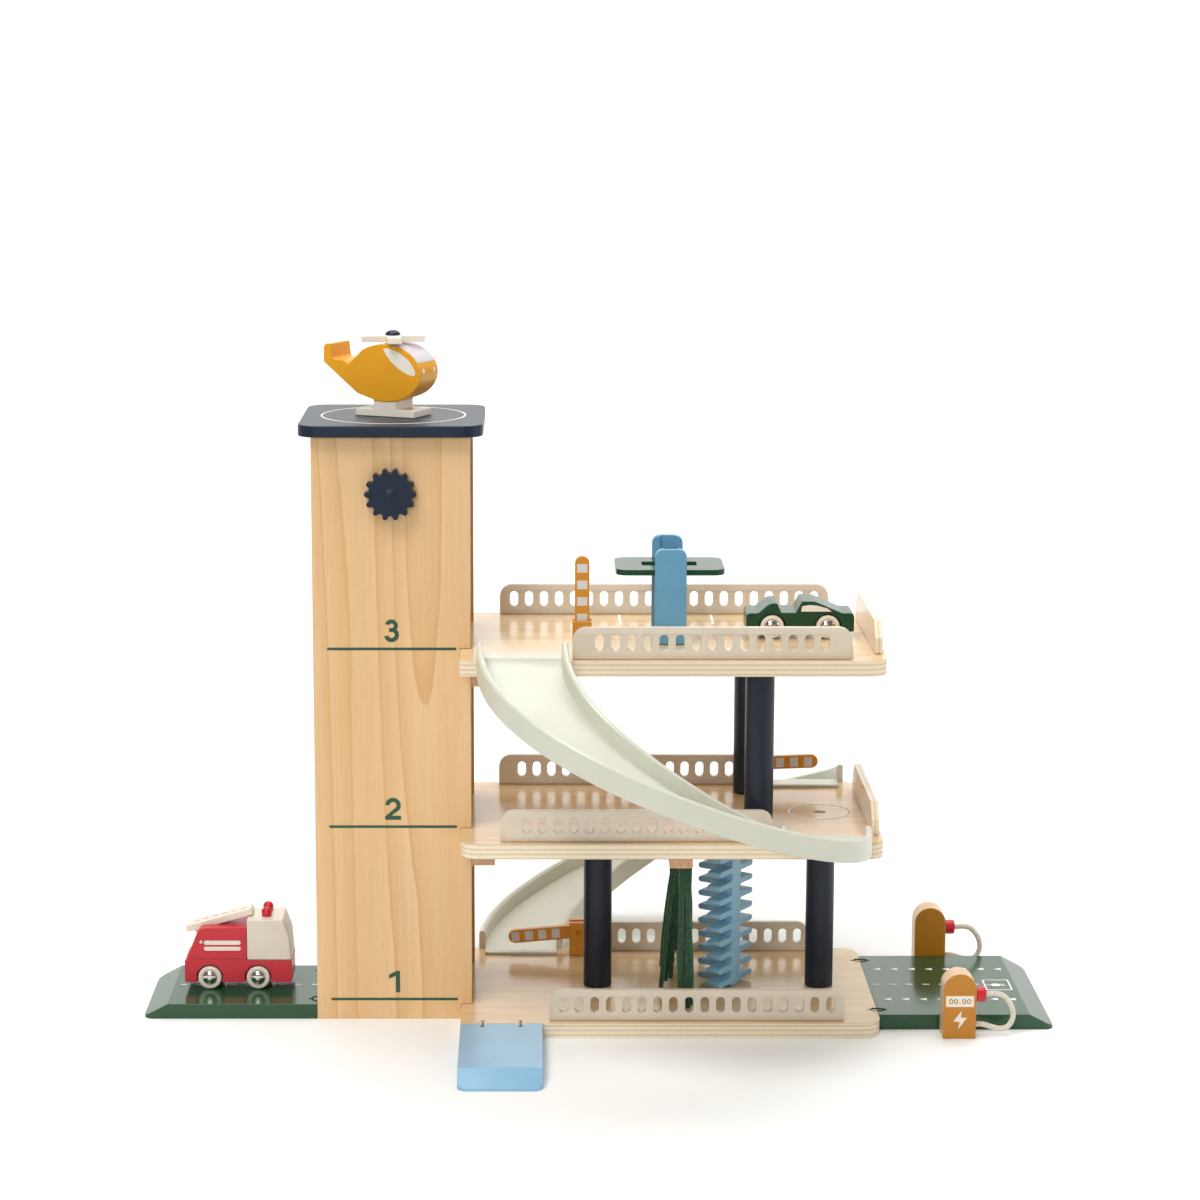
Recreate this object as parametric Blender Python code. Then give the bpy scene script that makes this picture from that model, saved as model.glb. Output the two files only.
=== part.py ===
"""Wooden toy parking tower: lift tower, three decks, chutes, car wash, roads and vehicles.

Metres, +Z up. The origin is the centre of the base deck's underside, on the floor.
+X runs along the decks away from the lift tower, +Y runs to the rear.
"""
import math

import bpy
import bmesh
from mathutils import Matrix, Vector

# Clearances
SEAT_GAP = 0.0003
RUN_GAP = 0.0004
SLIDE_GAP = 0.001

# Pins of the barriers and of the ladder
PIN_RADIUS = 0.0015

# Decks
DECK_LENGTH = 0.326
DECK_DEPTH = 0.202
DECK_THICKNESS = 0.012
DECK_CORNER = 0.014
MIDDLE_LEVEL = 0.155
TOP_LEVEL = 0.298
LEDGER_LENGTH = 0.018
LEDGER_DEPTH = 0.030
LEDGER_HEIGHT = 0.018

# Lift tower
TOWER_WIDTH = 0.122
TOWER_DEPTH = 0.122
TOWER_HEIGHT = 0.463
TOWER_FRONT = -0.052
PANEL_THICKNESS = 0.009
NOTCH_DEPTH = 0.008
DOOR_WIDTH = 0.064
DOOR_HEIGHT = 0.096
DOOR_CORNER = 0.012
PAD_THICKNESS = 0.009
PAD_OVERHANG = 0.010
PAD_CORNER = 0.016

# Hoist
SPINDLE_DROP = 0.0435
SPINDLE_RADIUS = 0.004
DRUM_RADIUS = 0.010
DRUM_LENGTH = 0.014
DRUM_FLANGE = 0.0145
DRUM_FLANGE_THICKNESS = 0.002
KNOB_RADIUS = 0.0165
KNOB_TOOTH = 0.0035
KNOB_TEETH = 14
KNOB_THICKNESS = 0.009
KNOB_STANDOFF = 0.0015
CARRIAGE_THICKNESS = 0.009
CARRIAGE_BACK_HEIGHT = 0.060
CARRIAGE_BACK_THICKNESS = 0.008
LIFT_CORD_RADIUS = 0.001

# Rails
RAIL_HEIGHT = 0.0245
RAIL_THICKNESS = 0.005
RAIL_CORNER = 0.010
RAIL_SETBACK_FRONT = 0.0065
RAIL_SETBACK_REAR = 0.003
SLOT_WIDTH = 0.0063
SLOT_HEIGHT = 0.0125
SLOT_CENTRE = 0.0125
SLOT_PITCH = 0.0124
SIDE_RAIL_THICKNESS = 0.006
SIDE_RAIL_LENGTH = 0.148
SIDE_RAIL_SETBACK = 0.002
SIDE_RAIL_CHAMFER = 0.012
TOP_FRONT_RAIL_INSET = 0.0275
TOP_REAR_RAIL_INSETS = (0.029, 0.0285)
MIDDLE_FRONT_RAIL_INSET = 0.031
MIDDLE_REAR_RAIL_INSET = 0.028
BASE_FRONT_RAIL_INSETS = (0.069, 0.0285)
BASE_REAR_RAIL_INSET = 0.040
RAIL_CHUTE_GAP = 0.0047

# Posts
POST_RADIUS = 0.01125
BASE_POST_LEFT_INSET = 0.108
BASE_POST_RIGHT_INSET = 0.040
UPPER_POST_INSET = 0.095
UPPER_POST_EDGE = 0.035

# Chutes
CHUTE_END_INSET = 0.012
CHUTE_WIDTH = 0.070
CHUTE_OFFSET = 0.001
CHUTE_WALL = 0.0052
CHUTE_RIM = 0.0016
CHUTE_WALL_HEIGHT = 0.0125
CHUTE_SKIRT = 0.0045
CHUTE_FLOOR = 0.002
CHUTE_TONGUE = 0.020
CHUTE_EASE = 0.20
CHUTE_RUN_OUT = 0.94
CHUTE_DIP = 0.003
CHUTE_STEPS = 28

# Turntable
TURNTABLE_INSET = 0.041
TURNTABLE_RADIUS = 0.0236
TURNTABLE_THICKNESS = 0.006
FINGER_HOLE = 0.0047

# Barriers
GATE_CHUTE_OFFSET = 0.0115
GATE_BLOCK = 0.0145
GATE_HEIGHT = 0.028
GATE_SLOT_FLOOR = 0.0125
GATE_PIVOT_DROP = 0.0085
GATE_ARM_WIDTH = 0.011
GATE_ARM_THICKNESS = 0.005
GATE_ARM_REACH = 0.058
BASE_GATE_DROOP = 5.0
MIDDLE_GATE_RISE = 2.0

# Car wash
WASH_X = 0.007
WASH_BLOCK_WIDTH = 0.018
WASH_BLOCK_HEIGHT = 0.008
WASH_BLOCK_INSET = 0.003
CURTAIN_SHIFT = 0.004
CURTAIN_STRIP_WIDTH = 0.010
CURTAIN_STRIP_INSET = 0.020
CURTAIN_STRIP = 0.002
CURTAIN_COLUMN = 0.003
CURTAIN_CORD_RADIUS = 0.0018
CURTAIN_ROWS = 6
CURTAIN_ROW_PITCH = 0.0275
CURTAIN_CLEARANCE = 0.006
ROLLER_X = 0.051
ROLLER_RADIUS = 0.0235
ROLLER_CORE = 0.0070
ROLLER_PLATE = 0.0070
ROLLER_FINGER = 0.0062
ROLLER_PITCH = 0.0118
ROLLER_FLARE = 0.0006
ROLLER_PIN = 0.004
ROLLER_PIN_LENGTH = 0.005
ROLLER_TURN = 28.0

# Car lift
CAR_LIFT_UPRIGHT_WIDTH = 0.0245
CAR_LIFT_UPRIGHT_THICKNESS = 0.007
CAR_LIFT_UPRIGHT_HEIGHT = 0.075
CAR_LIFT_UPRIGHT_CORNER = 0.006
CAR_LIFT_LENGTH = 0.085
CAR_LIFT_DEPTH = 0.061
CAR_LIFT_THICKNESS = 0.0045
CAR_LIFT_CORNER = 0.009
CAR_LIFT_RISE = 0.0535
CAR_LIFT_SLOT_LENGTH = 0.043
CAR_LIFT_SLOT_WIDTH = 0.018
CAR_LIFT_TENON = 0.003
CAR_LIFT_TENON_WIDTH = 0.010

# Roads
ROAD_THICKNESS = 0.012
ROAD_BEVEL = 0.019
ROAD_EDGE = 0.002
ROAD_CORNER = 0.007
LEFT_ROAD_LENGTH = 0.137
LEFT_ROAD_DEPTH = 0.104
RIGHT_ROAD_LENGTH = 0.137
RIGHT_ROAD_DEPTH = 0.158
ENTRY_LENGTH = 0.123
ENTRY_WIDTH = 0.0635
TIE_RADIUS = 0.0011
TIE_HOLE_RADIUS = 0.0018
TIE_INSET = 0.006
LEFT_TIE_SPACING = 0.076
RIGHT_TIE_SPACING = 0.132
ENTRY_TIE_SPACING = 0.0295

# Charging stations
STATION_X = 0.223
STATION_WIDTH = 0.0256
STATION_DEPTH = 0.020
STATION_HEIGHT = 0.052
STATION_ROAD_GAP = 0.0035
NOZZLE_RADIUS = 0.0058
NOZZLE_LENGTH = 0.008
NOZZLE_HEIGHT = 0.033
STATION_CORD_RADIUS = 0.0021

# Vehicles
WHEEL_RADIUS = 0.0095
WHEEL_WIDTH = 0.007
HUB_RADIUS = 0.0055
AXLE_RADIUS = 0.0015
ARCH_GAP = 0.0012
CAR_INSET = 0.0604
CAR_Y = 0.002
CAR_AXLES = 0.0437
CAR_WIDTH = 0.034
TRUCK_X = -0.3423
TRUCK_Y = 0.005
TRUCK_WIDTH = 0.038
LADDER_LEAN = 15.6
LADDER_RISE = 0.0081
LADDER_THICKNESS = 0.005
LADDER_WIDTH = 0.016
LADDER_FOOT = 0.008
LADDER_FOOT_WIDTH = 0.0124
HELI_YAW = 25.4
HELI_WIDTH = 0.0306
HELI_HULL = 0.031
HELI_HEIGHT = 0.0446
HELI_BELLY = 0.0117
SKID_LENGTH = 0.0516
SKID_COLUMN = 0.0190
SKID_HEIGHT = 0.0054
ROTOR_REACH = 0.0245
ROTOR_BLADE_WIDTH = 0.0115
ROTOR_THICKNESS = 0.005
ROTOR_TURN = 6.0

# Places worked out from the sizes above
BASE_LEVEL = DECK_THICKNESS
DECK_LEFT = -DECK_LENGTH / 2
DECK_RIGHT = DECK_LENGTH / 2
DECK_FRONT = -DECK_DEPTH / 2
DECK_REAR = DECK_DEPTH / 2
TOWER_RIGHT = DECK_LEFT + NOTCH_DEPTH
TOWER_LEFT = TOWER_RIGHT - TOWER_WIDTH
TOWER_REAR = TOWER_FRONT + TOWER_DEPTH
TOWER_X = (TOWER_LEFT + TOWER_RIGHT) / 2
TOWER_Y = (TOWER_FRONT + TOWER_REAR) / 2
PAD_TOP = TOWER_HEIGHT + SEAT_GAP + PAD_THICKNESS
SPINDLE_Z = TOWER_HEIGHT - SPINDLE_DROP
FRONT_RAIL_Y = DECK_FRONT + RAIL_SETBACK_FRONT + RAIL_THICKNESS
REAR_RAIL_Y = DECK_REAR - RAIL_SETBACK_REAR
BASE_POST_LEFT_X = DECK_LEFT + BASE_POST_LEFT_INSET
BASE_POST_RIGHT_X = DECK_RIGHT - BASE_POST_RIGHT_INSET
UPPER_POST_X = DECK_RIGHT - UPPER_POST_INSET
UPPER_POST_Y = DECK_REAR - UPPER_POST_EDGE
TURNTABLE_X = DECK_RIGHT - TURNTABLE_INSET
CAR_X = DECK_RIGHT - CAR_INSET
CHUTE_OUTER = DECK_LENGTH / 2 - CHUTE_END_INSET
CHUTE_INNER = CHUTE_OUTER - CHUTE_WIDTH
GATE_X = CHUTE_INNER - GATE_CHUTE_OFFSET
FRONT_GATE_Y = FRONT_RAIL_Y + SEAT_GAP + GATE_BLOCK / 2
REAR_GATE_Y = REAR_RAIL_Y - RAIL_THICKNESS - SEAT_GAP - GATE_BLOCK / 2
GATE_PIVOT = GATE_HEIGHT - GATE_PIVOT_DROP
WASH_CEILING = MIDDLE_LEVEL - DECK_THICKNESS
ROUND = 20


def clear_scene():
    """Start from an empty scene."""
    for old in list(bpy.data.objects):
        bpy.data.objects.remove(old, do_unlink=True)


def paint(name, colour, roughness, metallic=0.0):
    """A Principled material, reused when it exists."""
    found = bpy.data.materials.get(name)
    if found:
        return found
    made = bpy.data.materials.new(name)
    made.use_nodes = True
    shader = made.node_tree.nodes["Principled BSDF"]
    shader.inputs["Base Color"].default_value = (*colour, 1.0)
    shader.inputs["Roughness"].default_value = roughness
    shader.inputs["Metallic"].default_value = metallic
    made.diffuse_color = (*colour, 1.0)
    return made


def birch_ply():
    return paint("birch_ply", (0.83, 0.66, 0.46), 0.45)


def maple_veneer():
    return paint("maple_veneer", (0.77, 0.52, 0.28), 0.45)


def navy_paint():
    return paint("navy_paint", (0.013, 0.022, 0.042), 0.35)


def mustard_paint():
    return paint("mustard_paint", (0.70, 0.31, 0.02), 0.35)


def beige_paint():
    return paint("beige_paint", (0.60, 0.52, 0.43), 0.4)


def cream_paint():
    return paint("cream_paint", (0.89, 0.83, 0.71), 0.4)


def green_paint():
    return paint("green_paint", (0.02, 0.085, 0.04), 0.35)


def blue_paint():
    return paint("blue_paint", (0.15, 0.33, 0.48), 0.35)


def red_paint():
    return paint("red_paint", (0.60, 0.03, 0.05), 0.35)


def chute_plastic():
    return paint("chute_plastic", (0.70, 0.70, 0.60), 0.3)


def green_cord():
    return paint("green_cord", (0.012, 0.07, 0.02), 0.8)


def cream_cord():
    return paint("cream_cord", (0.86, 0.82, 0.74), 0.85)


def black_elastic():
    return paint("black_elastic", (0.01, 0.01, 0.012), 0.7)


def add_object(name, mesh, place, material, sharp=40.0):
    """Link a mesh to the scene as one named piece."""
    mesh.name = name
    mesh.materials.clear()
    mesh.materials.append(material)
    mesh.shade_smooth()
    mesh.set_sharp_from_angle(angle=math.radians(sharp))
    piece = bpy.data.objects.new(name, mesh)
    piece.location = place
    bpy.context.scene.collection.objects.link(piece)
    return piece


def add_guide(name, mesh, place=(0.0, 0.0, 0.0)):
    """A cutter or joining shape, which isn't a piece itself."""
    guide = bpy.data.objects.new(name, mesh)
    guide.location = place
    guide.hide_render = True
    guide.display_type = "WIRE"
    bpy.context.scene.collection.objects.link(guide)
    return guide


def combine(piece, guide, operation):
    """Cut a guide from a piece, or join it on."""
    change = piece.modifiers.new(guide.name, "BOOLEAN")
    change.operation = operation
    change.object = guide
    change.solver = "EXACT"


def merge_flats(piece):
    """Join the flat facets that cuts and joins leave."""
    change = piece.modifiers.new("merge_flats", "DECIMATE")
    change.decimate_type = "DISSOLVE"
    change.angle_limit = math.radians(0.5)


def soften(piece, width, segments=2, angle=50.0):
    """Round the sharp edges of a piece."""
    bevel = piece.modifiers.new("soft_edges", "BEVEL")
    bevel.width = width
    bevel.segments = segments
    bevel.limit_method = "ANGLE"
    bevel.angle_limit = math.radians(angle)


def arc(centre_x, centre_y, radius, start, end, steps):
    """Points along an arc, angles in degrees."""
    points = []
    for step in range(steps + 1):
        angle = math.radians(start + (end - start) * step / steps)
        points.append((centre_x + radius * math.cos(angle), centre_y + radius * math.sin(angle)))
    return points


def rounded(corners, steps=4):
    """An outline from (x, y, radius) corners, each radius as an arc."""
    outline = []
    count = len(corners)
    for index, (x, y, radius) in enumerate(corners):
        here = Vector((x, y))
        if radius <= 0.0:
            outline.append((x, y))
            continue
        before = (Vector(corners[index - 1][:2]) - here).normalized()
        after = (Vector(corners[(index + 1) % count][:2]) - here).normalized()
        half = before.angle(after) / 2
        centre = here + (before + after).normalized() * (radius / math.sin(half))
        start = here + before * (radius / math.tan(half)) - centre
        end = here + after * (radius / math.tan(half)) - centre
        turn = start.angle_signed(end)
        for step in range(steps + 1):
            angle = -turn * step / steps
            spoke = Matrix.Rotation(angle, 2) @ start
            outline.append(tuple(centre + spoke))
    return outline


def box_outline(low_x, low_y, high_x, high_y, radius=0.0, steps=4):
    """A rectangle with one corner radius."""
    corners = ((low_x, low_y), (high_x, low_y), (high_x, high_y), (low_x, high_y))
    return rounded([(x, y, radius) for x, y in corners], steps)


def circle_outline(centre_x, centre_y, radius, steps=ROUND):
    """A closed ring of points."""
    return arc(centre_x, centre_y, radius, 0.0, 360.0, steps)[:-1]


def slot_outline(centre_x, centre_y, width, height, steps=4):
    """An upright slot with round ends."""
    reach = (height - width) / 2
    top = arc(centre_x, centre_y + reach, width / 2, 0.0, 180.0, steps)
    bottom = arc(centre_x, centre_y - reach, width / 2, 180.0, 360.0, steps)
    return top + bottom


def plate(name, outline, thickness, holes=()):
    """A flat board in XY, from z = 0 to its thickness, with holes through it."""
    curve = bpy.data.curves.new(name + "_outline", "CURVE")
    curve.dimensions = "2D"
    curve.fill_mode = "BOTH"
    curve.extrude = thickness / 2
    for loop in [outline, *holes]:
        spline = curve.splines.new("POLY")
        spline.points.add(len(loop) - 1)
        for point, (x, y) in zip(spline.points, loop):
            point.co = (x, y, 0.0, 1.0)
        spline.use_cyclic_u = True
    holder = bpy.data.objects.new(name + "_outline", curve)
    mesh = bpy.data.meshes.new_from_object(holder)
    bpy.data.objects.remove(holder)
    bpy.data.curves.remove(curve)
    mesh.transform(Matrix.Translation((0.0, 0.0, thickness / 2)))
    return tidy(mesh)


def tidy(mesh):
    """Weld a mesh and point its faces outwards."""
    bm = bmesh.new()
    bm.from_mesh(mesh)
    bmesh.ops.remove_doubles(bm, verts=bm.verts, dist=0.000002)
    bmesh.ops.recalc_face_normals(bm, faces=bm.faces)
    bm.to_mesh(mesh)
    bm.free()
    return mesh


def upright(mesh):
    """Stand a plate up: its outline in XZ, its thickness towards -Y."""
    mesh.transform(Matrix.Rotation(math.radians(90.0), 4, "X"))
    return mesh


def sideways(mesh):
    """Stand a plate up: its outline in YZ, its thickness towards +X."""
    mesh.transform(Matrix(((0, 0, 1, 0), (1, 0, 0, 0), (0, 1, 0, 0), (0, 0, 0, 1))))
    return mesh


def block(name, low, high):
    """A plain box between two corners."""
    bm = bmesh.new()
    bmesh.ops.create_cube(bm, size=1.0)
    for vert in bm.verts:
        for axis in range(3):
            middle = (low[axis] + high[axis]) / 2
            vert.co[axis] = middle + vert.co[axis] * (high[axis] - low[axis])
    mesh = bpy.data.meshes.new(name)
    bm.to_mesh(mesh)
    bm.free()
    return mesh


def turned(name, profile, axis="Z", steps=ROUND):
    """A turned solid from (radius, height) points, its ends on the axis."""
    bm = bmesh.new()
    verts = [bm.verts.new((radius, 0.0, height)) for radius, height in profile]
    edges = [bm.edges.new(pair) for pair in zip(verts, verts[1:])]
    bmesh.ops.spin(
        bm, geom=verts + edges, cent=(0, 0, 0), axis=(0, 0, 1), dvec=(0, 0, 0),
        angle=math.tau, steps=steps, use_merge=True, use_duplicate=False,
    )
    bmesh.ops.remove_doubles(bm, verts=bm.verts, dist=0.000002)
    bmesh.ops.dissolve_degenerate(bm, edges=bm.edges, dist=0.000002)
    bmesh.ops.recalc_face_normals(bm, faces=bm.faces)
    mesh = bpy.data.meshes.new(name)
    bm.to_mesh(mesh)
    bm.free()
    if axis == "X":
        mesh.transform(Matrix.Rotation(math.radians(90.0), 4, "Y"))
    if axis == "Y":
        mesh.transform(Matrix.Rotation(math.radians(-90.0), 4, "X"))
    return mesh


def rod(name, radius, length, axis="Z", steps=ROUND):
    """A round rod from 0 to its length along an axis."""
    return turned(name, [(0.0, 0.0), (radius, 0.0), (radius, length), (0.0, length)], axis, steps)


def tube(name, points, radius, material, resolution=2):
    """A cord along points, as a bevelled curve with filled caps."""
    curve = bpy.data.curves.new(name, "CURVE")
    curve.dimensions = "3D"
    curve.bevel_depth = radius
    curve.bevel_resolution = resolution
    curve.use_fill_caps = True
    spline = curve.splines.new("POLY")
    spline.points.add(len(points) - 1)
    for point, place in zip(spline.points, points):
        point.co = (*place, 1.0)
    curve.materials.append(material)
    piece = bpy.data.objects.new(name, curve)
    bpy.context.scene.collection.objects.link(piece)
    return piece


def smooth_route(knots, steps):
    """Points on a smooth curve through a cord's own route points."""
    places = [Vector(knot) for knot in knots]
    before = places[0] * 2 - places[1]
    after = places[-1] * 2 - places[-2]
    chain = [before, *places, after]
    points = []
    for index in range(1, len(chain) - 2):
        p0, p1, p2, p3 = chain[index - 1:index + 3]
        for step in range(steps):
            t = step / steps
            spot = 2 * p1 + (p2 - p0) * t + (2 * p0 - 5 * p1 + 4 * p2 - p3) * t * t
            spot += (3 * p1 - p0 - 3 * p2 + p3) * t * t * t
            points.append(spot / 2)
    points.append(places[-1])
    return points


def round_bends(knots, radius, steps=3):
    """A route of straight runs whose bends are arcs of one radius."""
    places = [Vector(knot) for knot in knots]
    points = [places[0]]
    for before, here, after in zip(places, places[1:], places[2:]):
        back = (before - here).normalized()
        ahead = (after - here).normalized()
        start = here + back * radius
        end = here + ahead * radius
        for step in range(steps + 1):
            t = step / steps
            points.append(start * (1 - t) ** 2 + here * 2 * t * (1 - t) + end * t * t)
    points.append(places[-1])
    return points


def tower_panel(name, y_rear):
    """Front or back panel: notches take the three decks, a hole carries the spindle."""
    stop = DECK_LEFT - SEAT_GAP
    foot = BASE_LEVEL + SEAT_GAP
    outline = [(TOWER_LEFT, 0.0), (stop, 0.0), (stop, foot), (TOWER_RIGHT, foot)]
    for level in (MIDDLE_LEVEL, TOP_LEVEL):
        low = level - DECK_THICKNESS - SEAT_GAP
        high = level + SEAT_GAP
        outline += [(TOWER_RIGHT, low), (stop, low), (stop, high), (TOWER_RIGHT, high)]
    outline += [(TOWER_RIGHT, TOWER_HEIGHT), (TOWER_LEFT, TOWER_HEIGHT)]
    hole = circle_outline(TOWER_X, SPINDLE_Z, SPINDLE_RADIUS + RUN_GAP)
    mesh = upright(plate(name, outline, PANEL_THICKNESS, [hole]))
    return add_object(name, mesh, (0.0, y_rear, 0.0), maple_veneer())


def tower_left_panel():
    """Left panel between the other two, with the road's doorway and tie holes."""
    low = TOWER_FRONT + PANEL_THICKNESS + SEAT_GAP
    high = TOWER_REAR - PANEL_THICKNESS - SEAT_GAP
    half = DOOR_WIDTH / 2
    outline = [(low, 0.0), (high, 0.0), (high, TOWER_HEIGHT), (low, TOWER_HEIGHT)]
    door = rounded([
        (-half, ROAD_THICKNESS, 0.0), (half, ROAD_THICKNESS, 0.0),
        (half, DOOR_HEIGHT, DOOR_CORNER), (-half, DOOR_HEIGHT, DOOR_CORNER),
    ])
    holes = [door]
    for side in (-1, 1):
        holes.append(circle_outline(side * LEFT_TIE_SPACING / 2, left_tie_height(), TIE_HOLE_RADIUS, 12))
    mesh = sideways(plate("tower_left_panel", outline, PANEL_THICKNESS, holes))
    return add_object("tower_left_panel", mesh, (TOWER_LEFT, 0.0, 0.0), maple_veneer())


def left_tie_height():
    """Height at which the left road's elastic enters the tower."""
    return ROAD_THICKNESS + TIE_HOLE_RADIUS + 0.0008


def landing_pad():
    """Navy pad on top of the tower."""
    half_x = TOWER_WIDTH / 2 + PAD_OVERHANG
    half_y = TOWER_DEPTH / 2 + PAD_OVERHANG
    outline = box_outline(-half_x, -half_y, half_x, half_y, PAD_CORNER, 6)
    mesh = plate("landing_pad", outline, PAD_THICKNESS)
    piece = add_object("landing_pad", mesh, (TOWER_X, TOWER_Y, TOWER_HEIGHT + SEAT_GAP), navy_paint())
    soften(piece, 0.001, 1)
    return piece


def knob_outline():
    """Toothed wheel with round teeth."""
    points = []
    per_tooth = 6
    for step in range(KNOB_TEETH * per_tooth):
        angle = math.tau * step / (KNOB_TEETH * per_tooth)
        wave = math.cos(KNOB_TEETH * angle)
        radius = KNOB_RADIUS + KNOB_TOOTH * (0.5 + 0.5 * max(-1.0, min(1.0, 1.6 * wave)))
        points.append((radius * math.cos(angle), radius * math.sin(angle)))
    return points


def hoist():
    """Knob, spindle with drum, carriage and lift cord."""
    bore = circle_outline(0.0, 0.0, SPINDLE_RADIUS + SEAT_GAP)
    knob = upright(plate("knob", knob_outline(), KNOB_THICKNESS, [bore]))
    knob_back = TOWER_FRONT - KNOB_STANDOFF
    add_object("gear_knob", knob, (TOWER_X, knob_back, SPINDLE_Z), navy_paint())
    drum_y = drum_centre()
    front = knob_back - KNOB_THICKNESS + 0.001
    rear = TOWER_REAR
    first = drum_y - DRUM_LENGTH / 2
    last = drum_y + DRUM_LENGTH / 2
    profile = [
        (0.0, front), (SPINDLE_RADIUS, front), (SPINDLE_RADIUS, first - DRUM_FLANGE_THICKNESS),
        (DRUM_FLANGE, first - DRUM_FLANGE_THICKNESS), (DRUM_FLANGE, first), (DRUM_RADIUS, first),
        (DRUM_RADIUS, last), (DRUM_FLANGE, last), (DRUM_FLANGE, last + DRUM_FLANGE_THICKNESS),
        (SPINDLE_RADIUS, last + DRUM_FLANGE_THICKNESS), (SPINDLE_RADIUS, rear), (0.0, rear),
    ]
    spindle = turned("hoist_spindle", profile, "Y")
    add_object("hoist_spindle", spindle, (TOWER_X, 0.0, SPINDLE_Z), maple_veneer())
    lift_carriage()
    lift_cord()


def drum_centre():
    """The drum turns over the back board of the carriage."""
    inner_rear = TOWER_REAR - PANEL_THICKNESS
    return inner_rear - SLIDE_GAP - CARRIAGE_BACK_THICKNESS / 2 - DRUM_LENGTH / 2 + 0.002


def lift_carriage():
    """L-shaped carriage: a floor for one car and a back board that the cord lifts."""
    left = TOWER_LEFT + PANEL_THICKNESS + SLIDE_GAP
    right = DECK_LEFT - SLIDE_GAP
    front = TOWER_FRONT + PANEL_THICKNESS + SLIDE_GAP
    rear = TOWER_REAR - PANEL_THICKNESS - SLIDE_GAP
    low = BASE_LEVEL - CARRIAGE_THICKNESS
    board = rear - CARRIAGE_BACK_THICKNESS
    outline = [
        (front, low), (rear, low), (rear, BASE_LEVEL + CARRIAGE_BACK_HEIGHT),
        (board, BASE_LEVEL + CARRIAGE_BACK_HEIGHT), (board, BASE_LEVEL), (front, BASE_LEVEL),
    ]
    mesh = sideways(plate("lift_carriage", outline, right - left))
    return add_object("lift_carriage", mesh, (left, 0.0, 0.0), maple_veneer())


def lift_cord():
    """Cord from the side of the drum down to the carriage's back board."""
    board_y = TOWER_REAR - PANEL_THICKNESS - SLIDE_GAP - CARRIAGE_BACK_THICKNESS / 2
    x = TOWER_X + DRUM_RADIUS + LIFT_CORD_RADIUS + SEAT_GAP
    low = BASE_LEVEL + CARRIAGE_BACK_HEIGHT + SEAT_GAP
    points = [(x, board_y, low + (SPINDLE_Z - low) * step / 12) for step in range(13)]
    return tube("lift_cord", points, LIFT_CORD_RADIUS, cream_cord())


def deck_outline(left_radius):
    """A deck's rectangle: round corners on the right, its own radius on the left."""
    return rounded([
        (DECK_LEFT, DECK_FRONT, left_radius), (DECK_RIGHT, DECK_FRONT, DECK_CORNER),
        (DECK_RIGHT, DECK_REAR, DECK_CORNER), (DECK_LEFT, DECK_REAR, left_radius),
    ])


def add_ledger(deck, level):
    """Small block under a deck, against the tower's front panel."""
    left = TOWER_RIGHT + SEAT_GAP
    low = (left, TOWER_FRONT, level - DECK_THICKNESS - LEDGER_HEIGHT)
    high = (left + LEDGER_LENGTH, TOWER_FRONT + LEDGER_DEPTH, level - DECK_THICKNESS / 2)
    combine(deck, add_guide(deck.name + "_ledger_guide", block("ledger", low, high)), "UNION")


def decks():
    """The three deck boards."""
    holes = []
    for side in (-1, 1):
        right_tie = (DECK_RIGHT - TIE_INSET, side * RIGHT_TIE_SPACING / 2)
        entry_tie = (entry_x() + side * ENTRY_TIE_SPACING / 2, DECK_FRONT + TIE_INSET)
        for x, y in (right_tie, entry_tie):
            holes.append(circle_outline(x, y, TIE_HOLE_RADIUS, 12))
    holes.append(circle_outline(ROLLER_X, 0.0, ROLLER_PIN + RUN_GAP))
    mesh = plate("base_deck", deck_outline(0.003), DECK_THICKNESS, holes)
    add_object("base_deck", mesh, (0.0, 0.0, 0.0), birch_ply())

    mesh = plate("middle_deck", deck_outline(DECK_CORNER), DECK_THICKNESS)
    middle = add_object("middle_deck", mesh, (0.0, 0.0, MIDDLE_LEVEL - DECK_THICKNESS), birch_ply())
    recess = rod("recess", TURNTABLE_RADIUS + RUN_GAP, DECK_THICKNESS, "Z", 32)
    place = (TURNTABLE_X, 0.0, MIDDLE_LEVEL - TURNTABLE_THICKNESS - SEAT_GAP)
    combine(middle, add_guide("turntable_recess_guide", recess, place), "DIFFERENCE")
    socket = rod("socket", ROLLER_PIN + RUN_GAP, ROLLER_PIN_LENGTH * 2)
    place = (ROLLER_X, 0.0, WASH_CEILING - ROLLER_PIN_LENGTH)
    combine(middle, add_guide("roller_socket_guide", socket, place), "DIFFERENCE")
    add_ledger(middle, MIDDLE_LEVEL)

    mesh = plate("top_deck", deck_outline(0.003), DECK_THICKNESS)
    top = add_object("top_deck", mesh, (0.0, 0.0, TOP_LEVEL - DECK_THICKNESS), birch_ply())
    add_ledger(top, TOP_LEVEL)


def slotted_rail(name, left, right, y_rear, level):
    """Painted rail with as many slots as fit between its round corners."""
    length = right - left
    count = int((length - 2 * RAIL_CORNER) / SLOT_PITCH) + 1
    first = (length - (count - 1) * SLOT_PITCH) / 2
    outline = rounded([
        (0.0, 0.0, 0.0), (length, 0.0, 0.0),
        (length, RAIL_HEIGHT, RAIL_CORNER), (0.0, RAIL_HEIGHT, RAIL_CORNER),
    ])
    slots = []
    for index in range(count):
        centre = first + index * SLOT_PITCH
        slots.append(slot_outline(centre, SLOT_CENTRE, SLOT_WIDTH, SLOT_HEIGHT, 3))
    mesh = upright(plate(name, outline, RAIL_THICKNESS, slots))
    return add_object(name, mesh, (left, y_rear, level + SEAT_GAP), beige_paint())


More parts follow.
